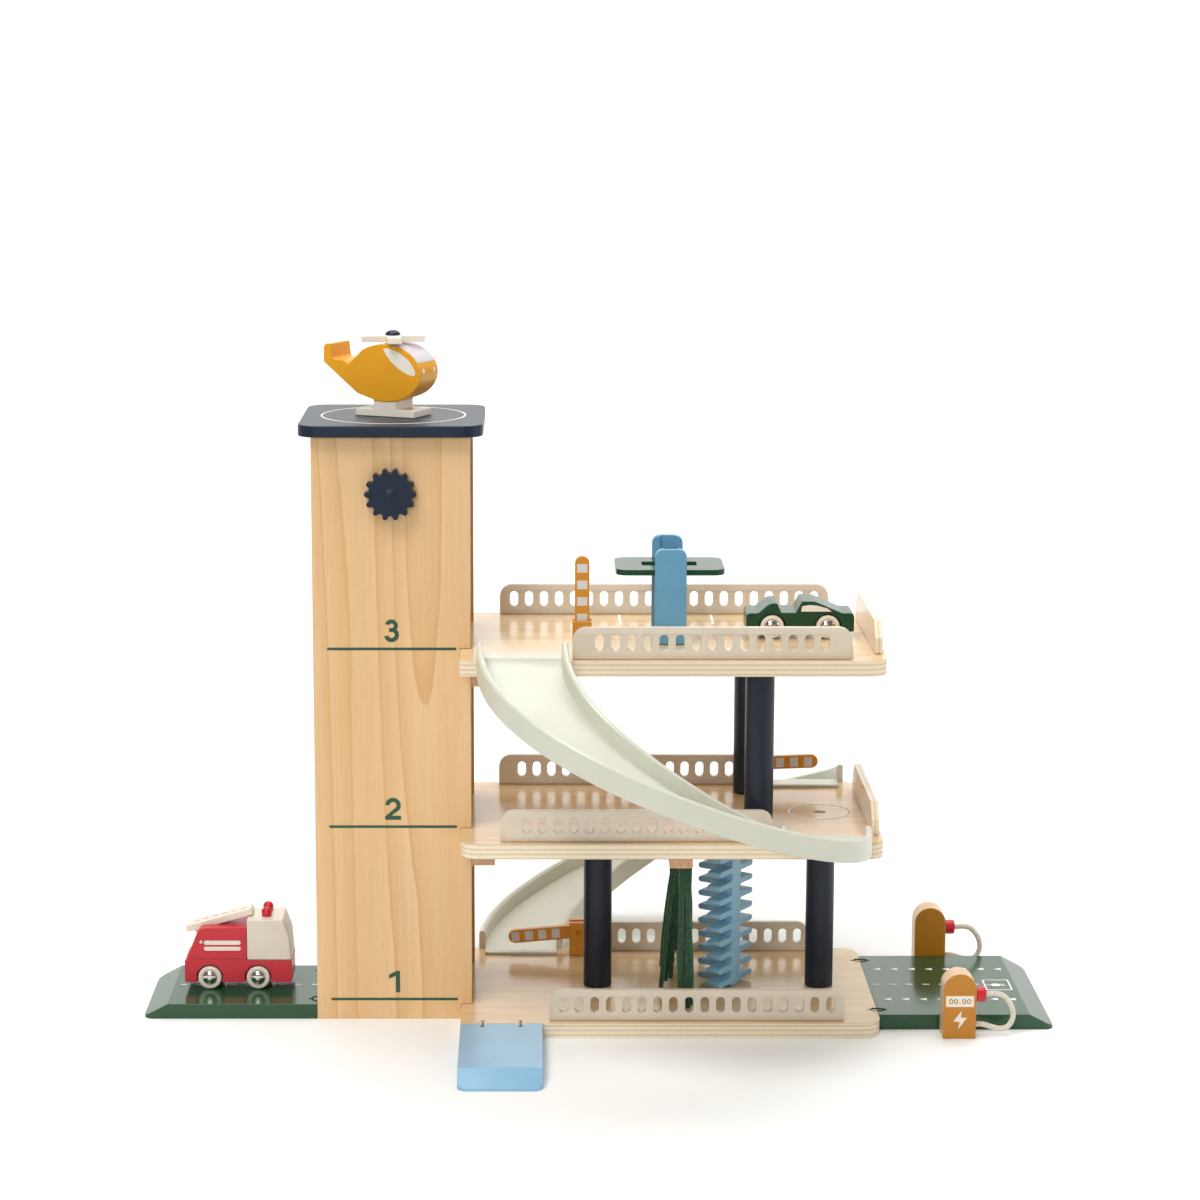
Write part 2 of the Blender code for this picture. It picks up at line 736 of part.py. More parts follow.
def side_rail(name, level):
    """Plain plywood rail along a deck's right side, its top corners cut off."""
    half = SIDE_RAIL_LENGTH / 2
    low_end = RAIL_HEIGHT / 2
    outline = [
        (-half, 0.0), (half, 0.0), (half, low_end), (half - SIDE_RAIL_CHAMFER, RAIL_HEIGHT),
        (SIDE_RAIL_CHAMFER - half, RAIL_HEIGHT), (-half, low_end),
    ]
    mesh = sideways(plate(name, outline, SIDE_RAIL_THICKNESS))
    left = DECK_RIGHT - SIDE_RAIL_SETBACK - SIDE_RAIL_THICKNESS
    return add_object(name, mesh, (left, 0.0, level + SEAT_GAP), birch_ply())


def rails():
    """Rails of the three decks, each from its left to its right end."""
    gate_end = GATE_X + GATE_BLOCK / 2
    left, right = TOP_REAR_RAIL_INSETS
    slotted_rail("top_front_rail", -gate_end, DECK_RIGHT - TOP_FRONT_RAIL_INSET, FRONT_RAIL_Y, TOP_LEVEL)
    slotted_rail("top_rear_rail", DECK_LEFT + left, DECK_RIGHT - right, REAR_RAIL_Y, TOP_LEVEL)
    side_rail("top_side_rail", TOP_LEVEL)
    left = DECK_LEFT + MIDDLE_FRONT_RAIL_INSET
    right = CHUTE_OFFSET + CHUTE_INNER - RAIL_CHUTE_GAP
    slotted_rail("middle_front_rail", left, right, FRONT_RAIL_Y, MIDDLE_LEVEL)
    left = DECK_LEFT + MIDDLE_REAR_RAIL_INSET
    slotted_rail("middle_rear_rail", left, gate_end, REAR_RAIL_Y, MIDDLE_LEVEL)
    side_rail("middle_side_rail", MIDDLE_LEVEL)
    left, right = BASE_FRONT_RAIL_INSETS
    slotted_rail("base_front_rail", DECK_LEFT + left, DECK_RIGHT - right, FRONT_RAIL_Y, BASE_LEVEL)
    slotted_rail("base_rear_rail", -gate_end, DECK_RIGHT - BASE_REAR_RAIL_INSET, REAR_RAIL_Y, BASE_LEVEL)


def post(name, x, y, floor, ceiling):
    """Round post between two decks."""
    mesh = rod(name, POST_RADIUS, ceiling - floor - 2 * SEAT_GAP, "Z", 24)
    return add_object(name, mesh, (x, y, floor + SEAT_GAP), navy_paint())


def posts():
    """Two posts under the middle deck and two under the top deck."""
    post("base_left_post", BASE_POST_LEFT_X, 0.0, BASE_LEVEL, MIDDLE_LEVEL - DECK_THICKNESS)
    post("base_right_post", BASE_POST_RIGHT_X, 0.0, BASE_LEVEL, MIDDLE_LEVEL - DECK_THICKNESS)
    post("upper_front_post", UPPER_POST_X, -UPPER_POST_Y, MIDDLE_LEVEL, TOP_LEVEL - DECK_THICKNESS)
    post("upper_rear_post", UPPER_POST_X, UPPER_POST_Y, MIDDLE_LEVEL, TOP_LEVEL - DECK_THICKNESS)


def chute_drop(share):
    """How much of the fall is used up at a share of the half turn, level at the lower end."""
    used = min(share / CHUTE_RUN_OUT, 1.0)
    return used + CHUTE_EASE * used * used * math.sin(math.pi * used)


def chute_section(dip):
    """Cross-section of the moulding as (radius, height): two walls and the floor, which may dip."""
    near = CHUTE_INNER + CHUTE_WALL
    far = CHUTE_OUTER - CHUTE_WALL
    shoulder = CHUTE_WALL_HEIGHT - CHUTE_RIM
    floor = -dip
    base = -CHUTE_FLOOR - dip
    return [
        (CHUTE_INNER, -CHUTE_SKIRT - dip), (near, -CHUTE_SKIRT - dip), (near, base),
        (far, base), (far, -CHUTE_SKIRT - dip), (CHUTE_OUTER, -CHUTE_SKIRT - dip),
        (CHUTE_OUTER, shoulder), (CHUTE_OUTER - CHUTE_RIM, CHUTE_WALL_HEIGHT),
        (far + CHUTE_RIM, CHUTE_WALL_HEIGHT), (far, shoulder), (far, floor),
        (near, floor), (near, shoulder), (near - CHUTE_RIM, CHUTE_WALL_HEIGHT),
        (CHUTE_INNER + CHUTE_RIM, CHUTE_WALL_HEIGHT), (CHUTE_INNER, shoulder),
    ]


def chute_ring(share, dip, fall):
    """The cross-section's points at a share of the half turn."""
    angle = math.pi * share
    height = fall * (1.0 - chute_drop(share)) + SEAT_GAP + CHUTE_FLOOR
    points = []
    for radius, rise in chute_section(dip):
        across = -radius * math.cos(angle) + CHUTE_OFFSET
        points.append((across, -SEAT_GAP - radius * math.sin(angle), height + rise))
    return points


def chute(name, fall, place, turn):
    """Moulded half-turn chute: a swept channel, its floor drawn out to a tongue at both ends."""
    bm = bmesh.new()
    places = [(0.0, 0.0), (0.006, CHUTE_DIP)]
    for step in range(1, CHUTE_STEPS + 1):
        share = step / CHUTE_STEPS
        places.append((share, CHUTE_DIP * (1.0 - share)))
    rings = []
    for share, dip in places:
        rings.append([bm.verts.new(point) for point in chute_ring(share, dip, fall)])
    count = len(rings[0])
    for ring, following in zip(rings, rings[1:]):
        for index in range(count):
            step = (index + 1) % count
            bm.faces.new((ring[index], ring[step], following[step], following[index]))
    for ring in (rings[0], rings[-1]):
        bm.faces.new([ring[index] for index in (0, 1, 2, 11, 12, 13, 14, 15)])
        bm.faces.new([ring[index] for index in (3, 4, 5, 6, 7, 8, 9, 10)])
        mouth = bm.faces.new([ring[index] for index in (2, 3, 10, 11)])
        drawn = bmesh.ops.extrude_face_region(bm, geom=[mouth])
        tip = [item for item in drawn["geom"] if isinstance(item, bmesh.types.BMVert)]
        bmesh.ops.translate(bm, verts=tip, vec=(0.0, CHUTE_TONGUE, 0.0))
        bm.faces.remove(mouth)
    bmesh.ops.recalc_face_normals(bm, faces=bm.faces)
    mesh = bpy.data.meshes.new(name)
    bm.to_mesh(mesh)
    bm.free()
    piece = add_object(name, mesh, place, chute_plastic())
    piece.rotation_euler = (0.0, 0.0, math.radians(turn))
    return piece


def chutes():
    """The same chute twice: front, top to middle; rear, turned about, middle to base."""
    chute("front_chute", TOP_LEVEL - MIDDLE_LEVEL, (0.0, DECK_FRONT, MIDDLE_LEVEL), 0.0)
    chute("rear_chute", MIDDLE_LEVEL - BASE_LEVEL, (0.0, DECK_REAR, BASE_LEVEL), 180.0)


def turntable():
    """Flush disc in the middle deck."""
    outline = circle_outline(0.0, 0.0, TURNTABLE_RADIUS, 32)
    hole = circle_outline(0.0, 0.0, FINGER_HOLE, 16)
    mesh = plate("turntable", outline, TURNTABLE_THICKNESS, [hole])
    place = (TURNTABLE_X, 0.0, MIDDLE_LEVEL - TURNTABLE_THICKNESS)
    return add_object("turntable", mesh, place, birch_ply())


def barrier(level_name, x, y, level, angle):
    """Slotted block and an arm on a pin; the angle lifts the arm from level along +X."""
    half = GATE_BLOCK / 2
    cheek = GATE_ARM_THICKNESS / 2 + RUN_GAP
    outline = [
        (-half, 0.0), (half, 0.0), (half, GATE_HEIGHT), (cheek, GATE_HEIGHT), (cheek, GATE_SLOT_FLOOR),
        (-cheek, GATE_SLOT_FLOOR), (-cheek, GATE_HEIGHT), (-half, GATE_HEIGHT),
    ]
    mesh = sideways(plate("gate_block", outline, GATE_BLOCK))
    stand = add_object(level_name + "_gate_block", mesh, (x - half, y, level + SEAT_GAP), mustard_paint())
    pivot = (x, y, level + SEAT_GAP + GATE_PIVOT)
    bore = rod("pin_bore", PIN_RADIUS + RUN_GAP, GATE_BLOCK * 2, "Y", 12)
    place = (pivot[0], pivot[1] - GATE_BLOCK, pivot[2])
    combine(stand, add_guide(level_name + "_pin_bore_guide", bore, place), "DIFFERENCE")

    radius = GATE_ARM_WIDTH / 2
    reach = GATE_ARM_REACH - radius
    outline = arc(reach, 0.0, radius, -90.0, 90.0, 8) + arc(0.0, 0.0, radius, 90.0, 270.0, 8)
    blade = upright(plate("gate_arm", outline, GATE_ARM_THICKNESS))
    blade.transform(Matrix.Translation((0.0, GATE_ARM_THICKNESS / 2, 0.0)))
    arm = add_object(level_name + "_gate_arm", blade, pivot, mustard_paint())
    arm.rotation_euler = (0.0, -math.radians(angle), 0.0)
    pin = rod("pin", PIN_RADIUS, GATE_BLOCK, "Y", 12)
    place = (pivot[0], pivot[1] - GATE_BLOCK / 2, pivot[2])
    combine(arm, add_guide(level_name + "_pin_guide", pin, place), "UNION")
    return arm


def barriers():
    """Top barrier raised, middle and base barriers lowered, as photographed."""
    barrier("top", -GATE_X, FRONT_GATE_Y, TOP_LEVEL, 90.0)
    barrier("middle", GATE_X, REAR_GATE_Y, MIDDLE_LEVEL, MIDDLE_GATE_RISE)
    barrier("base", -GATE_X, REAR_GATE_Y, BASE_LEVEL, 180.0 + BASE_GATE_DROOP)


def wash_curtain():
    """Two rows of hanging cords, fused to the strip that holds them."""
    strip_top = WASH_CEILING - WASH_BLOCK_HEIGHT - 2 * SEAT_GAP
    half = DECK_DEPTH / 2 - CURTAIN_STRIP_INSET
    middle = WASH_X + CURTAIN_SHIFT
    low = (middle - CURTAIN_STRIP_WIDTH / 2, -half, strip_top - CURTAIN_STRIP)
    high = (middle + CURTAIN_STRIP_WIDTH / 2, half, strip_top)
    piece = add_object("wash_curtain", block("strip", low, high), (0.0, 0.0, 0.0), green_cord())
    length = strip_top - CURTAIN_STRIP / 2 - BASE_LEVEL - CURTAIN_CLEARANCE
    for row in range(CURTAIN_ROWS):
        for column in (-1, 1):
            y = (row - (CURTAIN_ROWS - 1) / 2) * CURTAIN_ROW_PITCH + column * 0.002
            cord = rod("cord", CURTAIN_CORD_RADIUS, length, "Z", 6)
            place = (middle + column * CURTAIN_COLUMN, y, strip_top - CURTAIN_STRIP / 2 - length)
            guide = add_guide("curtain_cord_guide_%d_%d" % (row, column), cord, place)
            combine(piece, guide, "UNION")
    return piece


def roller_outline(low, high, lift):
    """Comb with round fingers on both sides of a core, centred on x = 0."""
    height = high - low
    fingers = int((height - ROLLER_FINGER) / ROLLER_PITCH) + 1
    margin = (height - (fingers - 1) * ROLLER_PITCH - ROLLER_FINGER) / 2
    radius = ROLLER_FINGER / 2
    right = [(ROLLER_CORE, low)]
    for finger in range(fingers):
        middle = low + margin + radius + finger * ROLLER_PITCH + lift
        right.append((ROLLER_CORE, middle - radius - ROLLER_FLARE))
        right += arc(ROLLER_RADIUS - radius, middle, radius, -90.0, 90.0, 3)
        right.append((ROLLER_CORE, middle + radius + ROLLER_FLARE))
    right.append((ROLLER_CORE, high))
    left = [(-x, z) for x, z in reversed(right)]
    return right + left


def comb_plate(low, high, lift, thickness):
    """One comb of the roller, standing in XZ and centred on Y."""
    comb = upright(plate("comb", roller_outline(low, high, lift), thickness))
    comb.transform(Matrix.Translation((0.0, thickness / 2, 0.0)))
    return comb


def wash_roller():
    """Two crossed combs on pins that turn in the decks; the second is a hair shorter and thinner."""
    floor = BASE_LEVEL + SLIDE_GAP
    height = WASH_CEILING - SLIDE_GAP - floor
    comb = comb_plate(0.0, height, 0.0, ROLLER_PLATE)
    piece = add_object("wash_roller", comb, (ROLLER_X, 0.0, floor), blue_paint())
    piece.rotation_euler = (0.0, 0.0, math.radians(ROLLER_TURN))
    other = comb_plate(SEAT_GAP, height - SEAT_GAP, SEAT_GAP / 2, ROLLER_PLATE - 2 * SEAT_GAP)
    cross = add_guide("roller_cross_guide", other, piece.location)
    cross.rotation_euler = (0.0, 0.0, math.radians(ROLLER_TURN + 90.0))
    combine(piece, cross, "UNION")
    pin = rod("pin", ROLLER_PIN, height + 2 * ROLLER_PIN_LENGTH)
    place = (ROLLER_X, 0.0, floor - ROLLER_PIN_LENGTH)
    combine(piece, add_guide("roller_pin_guide", pin, place), "UNION")
    merge_flats(piece)
    return piece


def car_wash():
    """Cord holder under the middle deck, its cords, and the roller."""
    half = DECK_DEPTH / 2 - WASH_BLOCK_INSET
    top = WASH_CEILING - SEAT_GAP
    low = (WASH_X - WASH_BLOCK_WIDTH / 2, -half, top - WASH_BLOCK_HEIGHT)
    high = (WASH_X + WASH_BLOCK_WIDTH / 2, half, top)
    holder = add_object("wash_block", block("wash_block", low, high), (0.0, 0.0, 0.0), maple_veneer())
    soften(holder, 0.001, 1)
    wash_curtain()
    wash_roller()


def car_lift_upright(name, y_rear, groove_y):
    """Flat post with round top corners; a groove guides the platform."""
    half = CAR_LIFT_UPRIGHT_WIDTH / 2
    outline = rounded([
        (-half, 0.0, 0.0), (half, 0.0, 0.0), (half, CAR_LIFT_UPRIGHT_HEIGHT, CAR_LIFT_UPRIGHT_CORNER),
        (-half, CAR_LIFT_UPRIGHT_HEIGHT, CAR_LIFT_UPRIGHT_CORNER),
    ])
    mesh = upright(plate(name, outline, CAR_LIFT_UPRIGHT_THICKNESS))
    piece = add_object(name, mesh, (0.0, y_rear, TOP_LEVEL + SEAT_GAP), blue_paint())
    reach = CAR_LIFT_TENON_WIDTH / 2 + RUN_GAP
    depth = CAR_LIFT_TENON + RUN_GAP
    low = (-reach, groove_y - depth, 0.008)
    high = (reach, groove_y + depth, CAR_LIFT_UPRIGHT_HEIGHT + 0.01)
    guide = add_guide(name + "_groove_guide", block("groove", low, high), (0.0, 0.0, TOP_LEVEL + SEAT_GAP))
    combine(piece, guide, "DIFFERENCE")
    return piece


def car_lift():
    """Platform sliding between two uprights on the top deck."""
    half_depth = CAR_LIFT_DEPTH / 2
    face = half_depth + RUN_GAP
    car_lift_upright("car_lift_front_upright", -face, -face)
    car_lift_upright("car_lift_rear_upright", face + CAR_LIFT_UPRIGHT_THICKNESS, face)
    half = CAR_LIFT_LENGTH / 2
    tenon = CAR_LIFT_TENON_WIDTH / 2
    reach = half_depth + CAR_LIFT_TENON
    outline = rounded([
        (-half, -half_depth, CAR_LIFT_CORNER), (-tenon, -half_depth, 0.0), (-tenon, -reach, 0.0),
        (tenon, -reach, 0.0), (tenon, -half_depth, 0.0), (half, -half_depth, CAR_LIFT_CORNER),
        (half, half_depth, CAR_LIFT_CORNER), (tenon, half_depth, 0.0), (tenon, reach, 0.0),
        (-tenon, reach, 0.0), (-tenon, half_depth, 0.0), (-half, half_depth, CAR_LIFT_CORNER),
    ])
    slot_x = CAR_LIFT_SLOT_LENGTH / 2
    slot_y = CAR_LIFT_SLOT_WIDTH / 2
    opening = box_outline(-slot_x, -slot_y, slot_x, slot_y, 0.002, 3)
    mesh = plate("car_lift_platform", outline, CAR_LIFT_THICKNESS, [opening])
    return add_object("car_lift_platform", mesh, (0.0, 0.0, TOP_LEVEL + CAR_LIFT_RISE), green_paint())


def road_mesh(name, length, depth, spacing):
    """Board along +X with a sloped far end, two tie holes and the groove between them."""
    half = depth / 2
    outline = rounded([
        (0.0, -half, 0.0), (length, -half, ROAD_CORNER), (length, half, ROAD_CORNER), (0.0, half, 0.0),
    ])
    holes = [circle_outline(TIE_INSET, side * spacing / 2, TIE_HOLE_RADIUS, 12) for side in (-1, 1)]
    mesh = plate(name, outline, ROAD_THICKNESS, holes)
    bm = bmesh.new()
    bm.from_mesh(mesh)
    slope = Vector((ROAD_THICKNESS - ROAD_EDGE, 0.0, ROAD_BEVEL)).normalized()
    corner = (length - ROAD_BEVEL, 0.0, ROAD_THICKNESS)
    everything = bm.verts[:] + bm.edges[:] + bm.faces[:]
    bmesh.ops.bisect_plane(bm, geom=everything, plane_co=corner, plane_no=slope, clear_outer=True)
    rim = [edge for edge in bm.edges if edge.is_boundary]
    bmesh.ops.holes_fill(bm, edges=rim, sides=0)
    bmesh.ops.recalc_face_normals(bm, faces=bm.faces)
    bm.to_mesh(mesh)
    bm.free()
    return mesh


def road(name, mesh, place, turn, material, spacing):
    """Put a road in place and cut the groove that its elastic runs in."""
    piece = add_object(name, mesh, place, material)
    piece.rotation_euler = (0.0, 0.0, math.radians(turn))
    reach = TIE_HOLE_RADIUS
    low = (TIE_INSET - reach, -spacing / 2, -0.002)
    high = (TIE_INSET + reach, spacing / 2, groove_height())
    guide = add_guide(name + "_groove_guide", block("groove", low, high), place)
    guide.rotation_euler = piece.rotation_euler
    combine(piece, guide, "DIFFERENCE")
    return piece


def groove_height():
    """Depth of the groove under a road."""
    return 2 * TIE_RADIUS + 3 * SEAT_GAP


def tie_route(spacing, far_end):
    """Elastic from the fixed side, over and down through the road, along it and back."""
    run = SEAT_GAP + TIE_RADIUS
    over = ROAD_THICKNESS + SEAT_GAP + TIE_RADIUS
    route = []
    for side in (-1, 1):
        y = side * spacing / 2
        half = [*[(x, y, z) for x, z in far_end], (TIE_INSET, y, over), (TIE_INSET, y, run)]
        route += half if side < 0 else list(reversed(half))
    return round_bends(route, 0.0022)


def entry_x():
    """The entry ramp is flush with the deck's left end."""
    return DECK_LEFT + ENTRY_WIDTH / 2


def roads():
    """Two roads and the entry ramp, each tied on with one elastic cord."""
    over = ROAD_THICKNESS + SEAT_GAP + TIE_RADIUS
    into_deck = [(-TIE_INSET, 0.004), (-TIE_INSET, over)]
    into_tower = [(-PANEL_THICKNESS + 0.001, left_tie_height()), (-0.001, left_tie_height())]
    left = road_mesh("left_road", LEFT_ROAD_LENGTH, LEFT_ROAD_DEPTH, LEFT_TIE_SPACING)
    right = road_mesh("right_road", RIGHT_ROAD_LENGTH, RIGHT_ROAD_DEPTH, RIGHT_TIE_SPACING)
    entry = road_mesh("entry_ramp", ENTRY_LENGTH, ENTRY_WIDTH, ENTRY_TIE_SPACING)
    left_place = (TOWER_LEFT - SEAT_GAP, 0.0, 0.0)
    right_place = (DECK_RIGHT + SEAT_GAP, 0.0, 0.0)
    entry_place = (entry_x(), DECK_FRONT - SEAT_GAP, 0.0)
    layout = (
        ("left_road", left, left_place, 180.0, green_paint(), LEFT_TIE_SPACING, into_tower),
        ("right_road", right, right_place, 0.0, green_paint(), RIGHT_TIE_SPACING, into_deck),
        ("entry_ramp", entry, entry_place, -90.0, blue_paint(), ENTRY_TIE_SPACING, into_deck),
    )
    for name, mesh, place, turn, material, spacing, far_end in layout:
        road(name, mesh, place, turn, material, spacing)
        shift = Matrix.Translation(place) @ Matrix.Rotation(math.radians(turn), 4, "Z")
        points = [shift @ point for point in tie_route(spacing, far_end)]
        tube(name + "_tie", points, TIE_RADIUS, black_elastic())


def station(name, y_front):
    """Charging block with an arched top, its nozzle and cord."""
    half = STATION_WIDTH / 2
    straight = STATION_HEIGHT - half
    outline = [(-half, 0.0), (half, 0.0)] + arc(0.0, straight, half, 0.0, 180.0, 12)
    mesh = upright(plate(name, outline, STATION_DEPTH))
    piece = add_object(name, mesh, (STATION_X, y_front + STATION_DEPTH, 0.0), mustard_paint())
    soften(piece, 0.0008, 1, 60.0)
    y = y_front + STATION_DEPTH / 2
    side = STATION_X + half + SEAT_GAP
    nozzle = rod(name + "_nozzle", NOZZLE_RADIUS, NOZZLE_LENGTH, "X")
    handle = add_object(name + "_nozzle", nozzle, (side, y, NOZZLE_HEIGHT), red_paint())
    soften(handle, 0.0007, 1, 60.0)
    start = side + NOZZLE_LENGTH + SEAT_GAP
    bends = [
        (0.2510, 0.0335), (0.2574, 0.0320), (0.2628, 0.0265), (0.2656, 0.0195), (0.2655, 0.0130),
        (0.2620, 0.0070), (0.2560, 0.0052), (0.2490, 0.0068), (0.2420, 0.0088),
    ]
    route = [(start, y, NOZZLE_HEIGHT), *[(x, y, z) for x, z in bends], (side, y, 0.0090)]
    tube(name + "_cord", smooth_route(route, 3), STATION_CORD_RADIUS, cream_cord())


def stations():
    """One station before the right road, one behind it."""
    half = RIGHT_ROAD_DEPTH / 2
    station("front_station", -half - STATION_ROAD_GAP - STATION_DEPTH)
    station("rear_station", half + STATION_ROAD_GAP)


def wheelset(name, width, place):
    """Axle with a wheel on each end, turned as one."""
    half = width / 2
    inner = half - WHEEL_WIDTH
    hub = half + 0.0006
    side = [
        (0.0, hub), (HUB_RADIUS, half - 0.0010), (HUB_RADIUS + 0.001, half), (WHEEL_RADIUS - 0.0008, half),
        (WHEEL_RADIUS, half - 0.0008), (WHEEL_RADIUS, inner), (AXLE_RADIUS, inner),
    ]
    profile = [(radius, -y) for radius, y in side] + [(radius, y) for radius, y in reversed(side)]
    mesh = turned(name, profile, "Y", 16)
    return add_object(name, mesh, place, cream_paint())


def cut_arches(body, centres, width, base):
    """Wheel arches on both sides of a body, and the axle's hole."""
    half = width / 2
    inner = half - WHEEL_WIDTH - ARCH_GAP
    radius = WHEEL_RADIUS + ARCH_GAP
    bore = AXLE_RADIUS + RUN_GAP
    profile = [
        (0.0, -half - 0.01), (radius, -half - 0.01), (radius, -inner), (bore, -inner),
        (bore, inner), (radius, inner), (radius, half + 0.01), (0.0, half + 0.01),
    ]
    for index, (x, y) in enumerate(centres):
        arch = turned("arch", profile, "Y", 24)
        guide = add_guide("%s_arch_guide_%d" % (body.name, index), arch, (x, y, base))
        combine(body, guide, "DIFFERENCE")


def slab(name, outline, width):
    """A vehicle side profile cut from a board, centred on Y."""
    mesh = upright(plate(name, outline, width))
    mesh.transform(Matrix.Translation((0.0, width / 2, 0.0)))
    return mesh


def toy_car():
    """Green sports car with an open seat, on the top deck."""
    ground = TOP_LEVEL + SEAT_GAP
    outline = rounded([
        (-0.0423, 0.0058, 0.001), (0.0423, 0.0058, 0.001), (0.0423, 0.0206, 0.003),
        (0.0330, 0.0206, 0.006), (0.0110, 0.0300, 0.012), (0.0012, 0.0300, 0.001),
        (-0.0034, 0.0210, 0.0015), (-0.0150, 0.0210, 0.0015), (-0.0182, 0.0285, 0.001),
        (-0.0240, 0.0285, 0.008), (-0.0330, 0.0206, 0.004), (-0.0423, 0.0206, 0.003),
    ], 3)
    mesh = slab("car_body", outline, CAR_WIDTH)
    body = add_object("car_body", mesh, (CAR_X, CAR_Y, ground), green_paint())
    front = (CAR_X - CAR_AXLES / 2, CAR_Y)
    rear = (CAR_X + CAR_AXLES / 2, CAR_Y)
    cut_arches(body, (front, rear), CAR_WIDTH, ground + WHEEL_RADIUS)
    for name, (x, y) in (("car_front_wheels", front), ("car_rear_wheels", rear)):
        wheelset(name, CAR_WIDTH, (x, y, ground + WHEEL_RADIUS))


def fire_engine():
    """Red fire engine on the left road, its cab towards the tower."""
    ground = ROAD_THICKNESS + SEAT_GAP
    outline = rounded([
        (-0.0433, 0.0058, 0.0015), (0.0423, 0.0058, 0.0015), (0.0423, 0.0240, 0.0008),
        (0.0064, 0.0240, 0.0), (0.0064, 0.0508, 0.0008), (-0.0310, 0.0508, 0.006),
        (-0.0422, 0.0240, 0.0008), (-0.0433, 0.0235, 0.0),
    ], 3)
    place = (TRUCK_X, TRUCK_Y, ground)
    body = add_object("truck_body", slab("truck_body", outline, TRUCK_WIDTH), place, red_paint())
    rear = (TRUCK_X - 0.0234, TRUCK_Y)
    front = (TRUCK_X + 0.0153, TRUCK_Y)
    cut_arches(body, (rear, front), TRUCK_WIDTH, ground + WHEEL_RADIUS)
    for name, (x, y) in (("truck_rear_wheels", rear), ("truck_front_wheels", front)):
        wheelset(name, TRUCK_WIDTH, (x, y, ground + WHEEL_RADIUS))
    outline = rounded([
        (0.0067, 0.0243, 0.0), (0.0420, 0.0243, 0.0008), (0.0405, 0.0430, 0.006),
        (0.0355, 0.0573, 0.002), (0.0067, 0.0573, 0.0012),
    ], 3)
    cab = add_object("truck_cab", slab("truck_cab", outline, TRUCK_WIDTH), place, cream_paint())
    for side in (-1, 1):
        dome = [(0.0, -0.002), (0.0038, -0.002), (0.0038, 0.0022)]
        dome += [(0.0043 * math.cos(a), 0.0038 + 0.0043 * math.sin(a)) for a in (0.0, 0.5, 1.0)]
        dome.append((0.0, 0.0081))
        spot = (TRUCK_X + 0.0220, TRUCK_Y + side * 0.0085, ground + 0.0573)
        guide = add_guide("beacon_guide_%d" % side, turned("beacon", dome, "Z", 12), spot)
        combine(cab, guide, "UNION")
    ladder(body)


def ladder(body):
    """Ladder on a foot that is pinned in a slot of the body; its tip rests on the cab."""
    pivot = (TRUCK_X - 0.0300, TRUCK_Y, ROAD_THICKNESS + SEAT_GAP + 0.0390)
    lean = -math.radians(LADDER_LEAN)
    low = LADDER_RISE
    high = low + LADDER_THICKNESS
    outline = rounded([
        (-0.0100, low, 0.001), (0.0447, low, 0.0005), (0.0447, high, 0.001), (-0.0100, high, 0.001),
    ], 2)
    mesh = slab("truck_ladder", outline, LADDER_WIDTH)
    piece = add_object("truck_ladder", mesh, pivot, cream_paint())
    piece.rotation_euler = (0.0, lean, 0.0)
    half = LADDER_FOOT / 2
    foot = [(-half, low + 0.001)] + arc(0.0, 0.0, half, 180.0, 360.0, 8) + [(half, low + 0.001)]
    guide = add_guide("ladder_foot_guide", slab("foot", foot, LADDER_FOOT_WIDTH), pivot)
    guide.rotation_euler = (0.0, lean, 0.0)
    combine(piece, guide, "UNION")
    reach = TRUCK_WIDTH / 2 - 0.0005
    pin = rod("pin", PIN_RADIUS, reach * 2, "Y", 12)
    place = (pivot[0], pivot[1] - reach, pivot[2])
    combine(piece, add_guide("ladder_pin_guide", pin, place), "UNION")

    slot_side = LADDER_FOOT_WIDTH / 2 + RUN_GAP
    slot_depth = half + SLIDE_GAP
    slot = block("slot", (-0.03, -slot_side, -slot_depth), (slot_depth, slot_side, 0.03))
    combine(body, add_guide("ladder_slot_guide", slot, pivot), "DIFFERENCE")
    side = LADDER_WIDTH / 2 + RUN_GAP
    trough = block("trough", (-0.03, -side, low - SEAT_GAP), (0.05, side, 0.03))
    guide = add_guide("ladder_trough_guide", trough, pivot)
    guide.rotation_euler = (0.0, lean, 0.0)
    combine(body, guide, "DIFFERENCE")
    bore = rod("bore", PIN_RADIUS + RUN_GAP, TRUCK_WIDTH * 2, "Y", 12)
    place = (pivot[0], pivot[1] - TRUCK_WIDTH, pivot[2])
    combine(body, add_guide("ladder_bore_guide", bore, place), "DIFFERENCE")


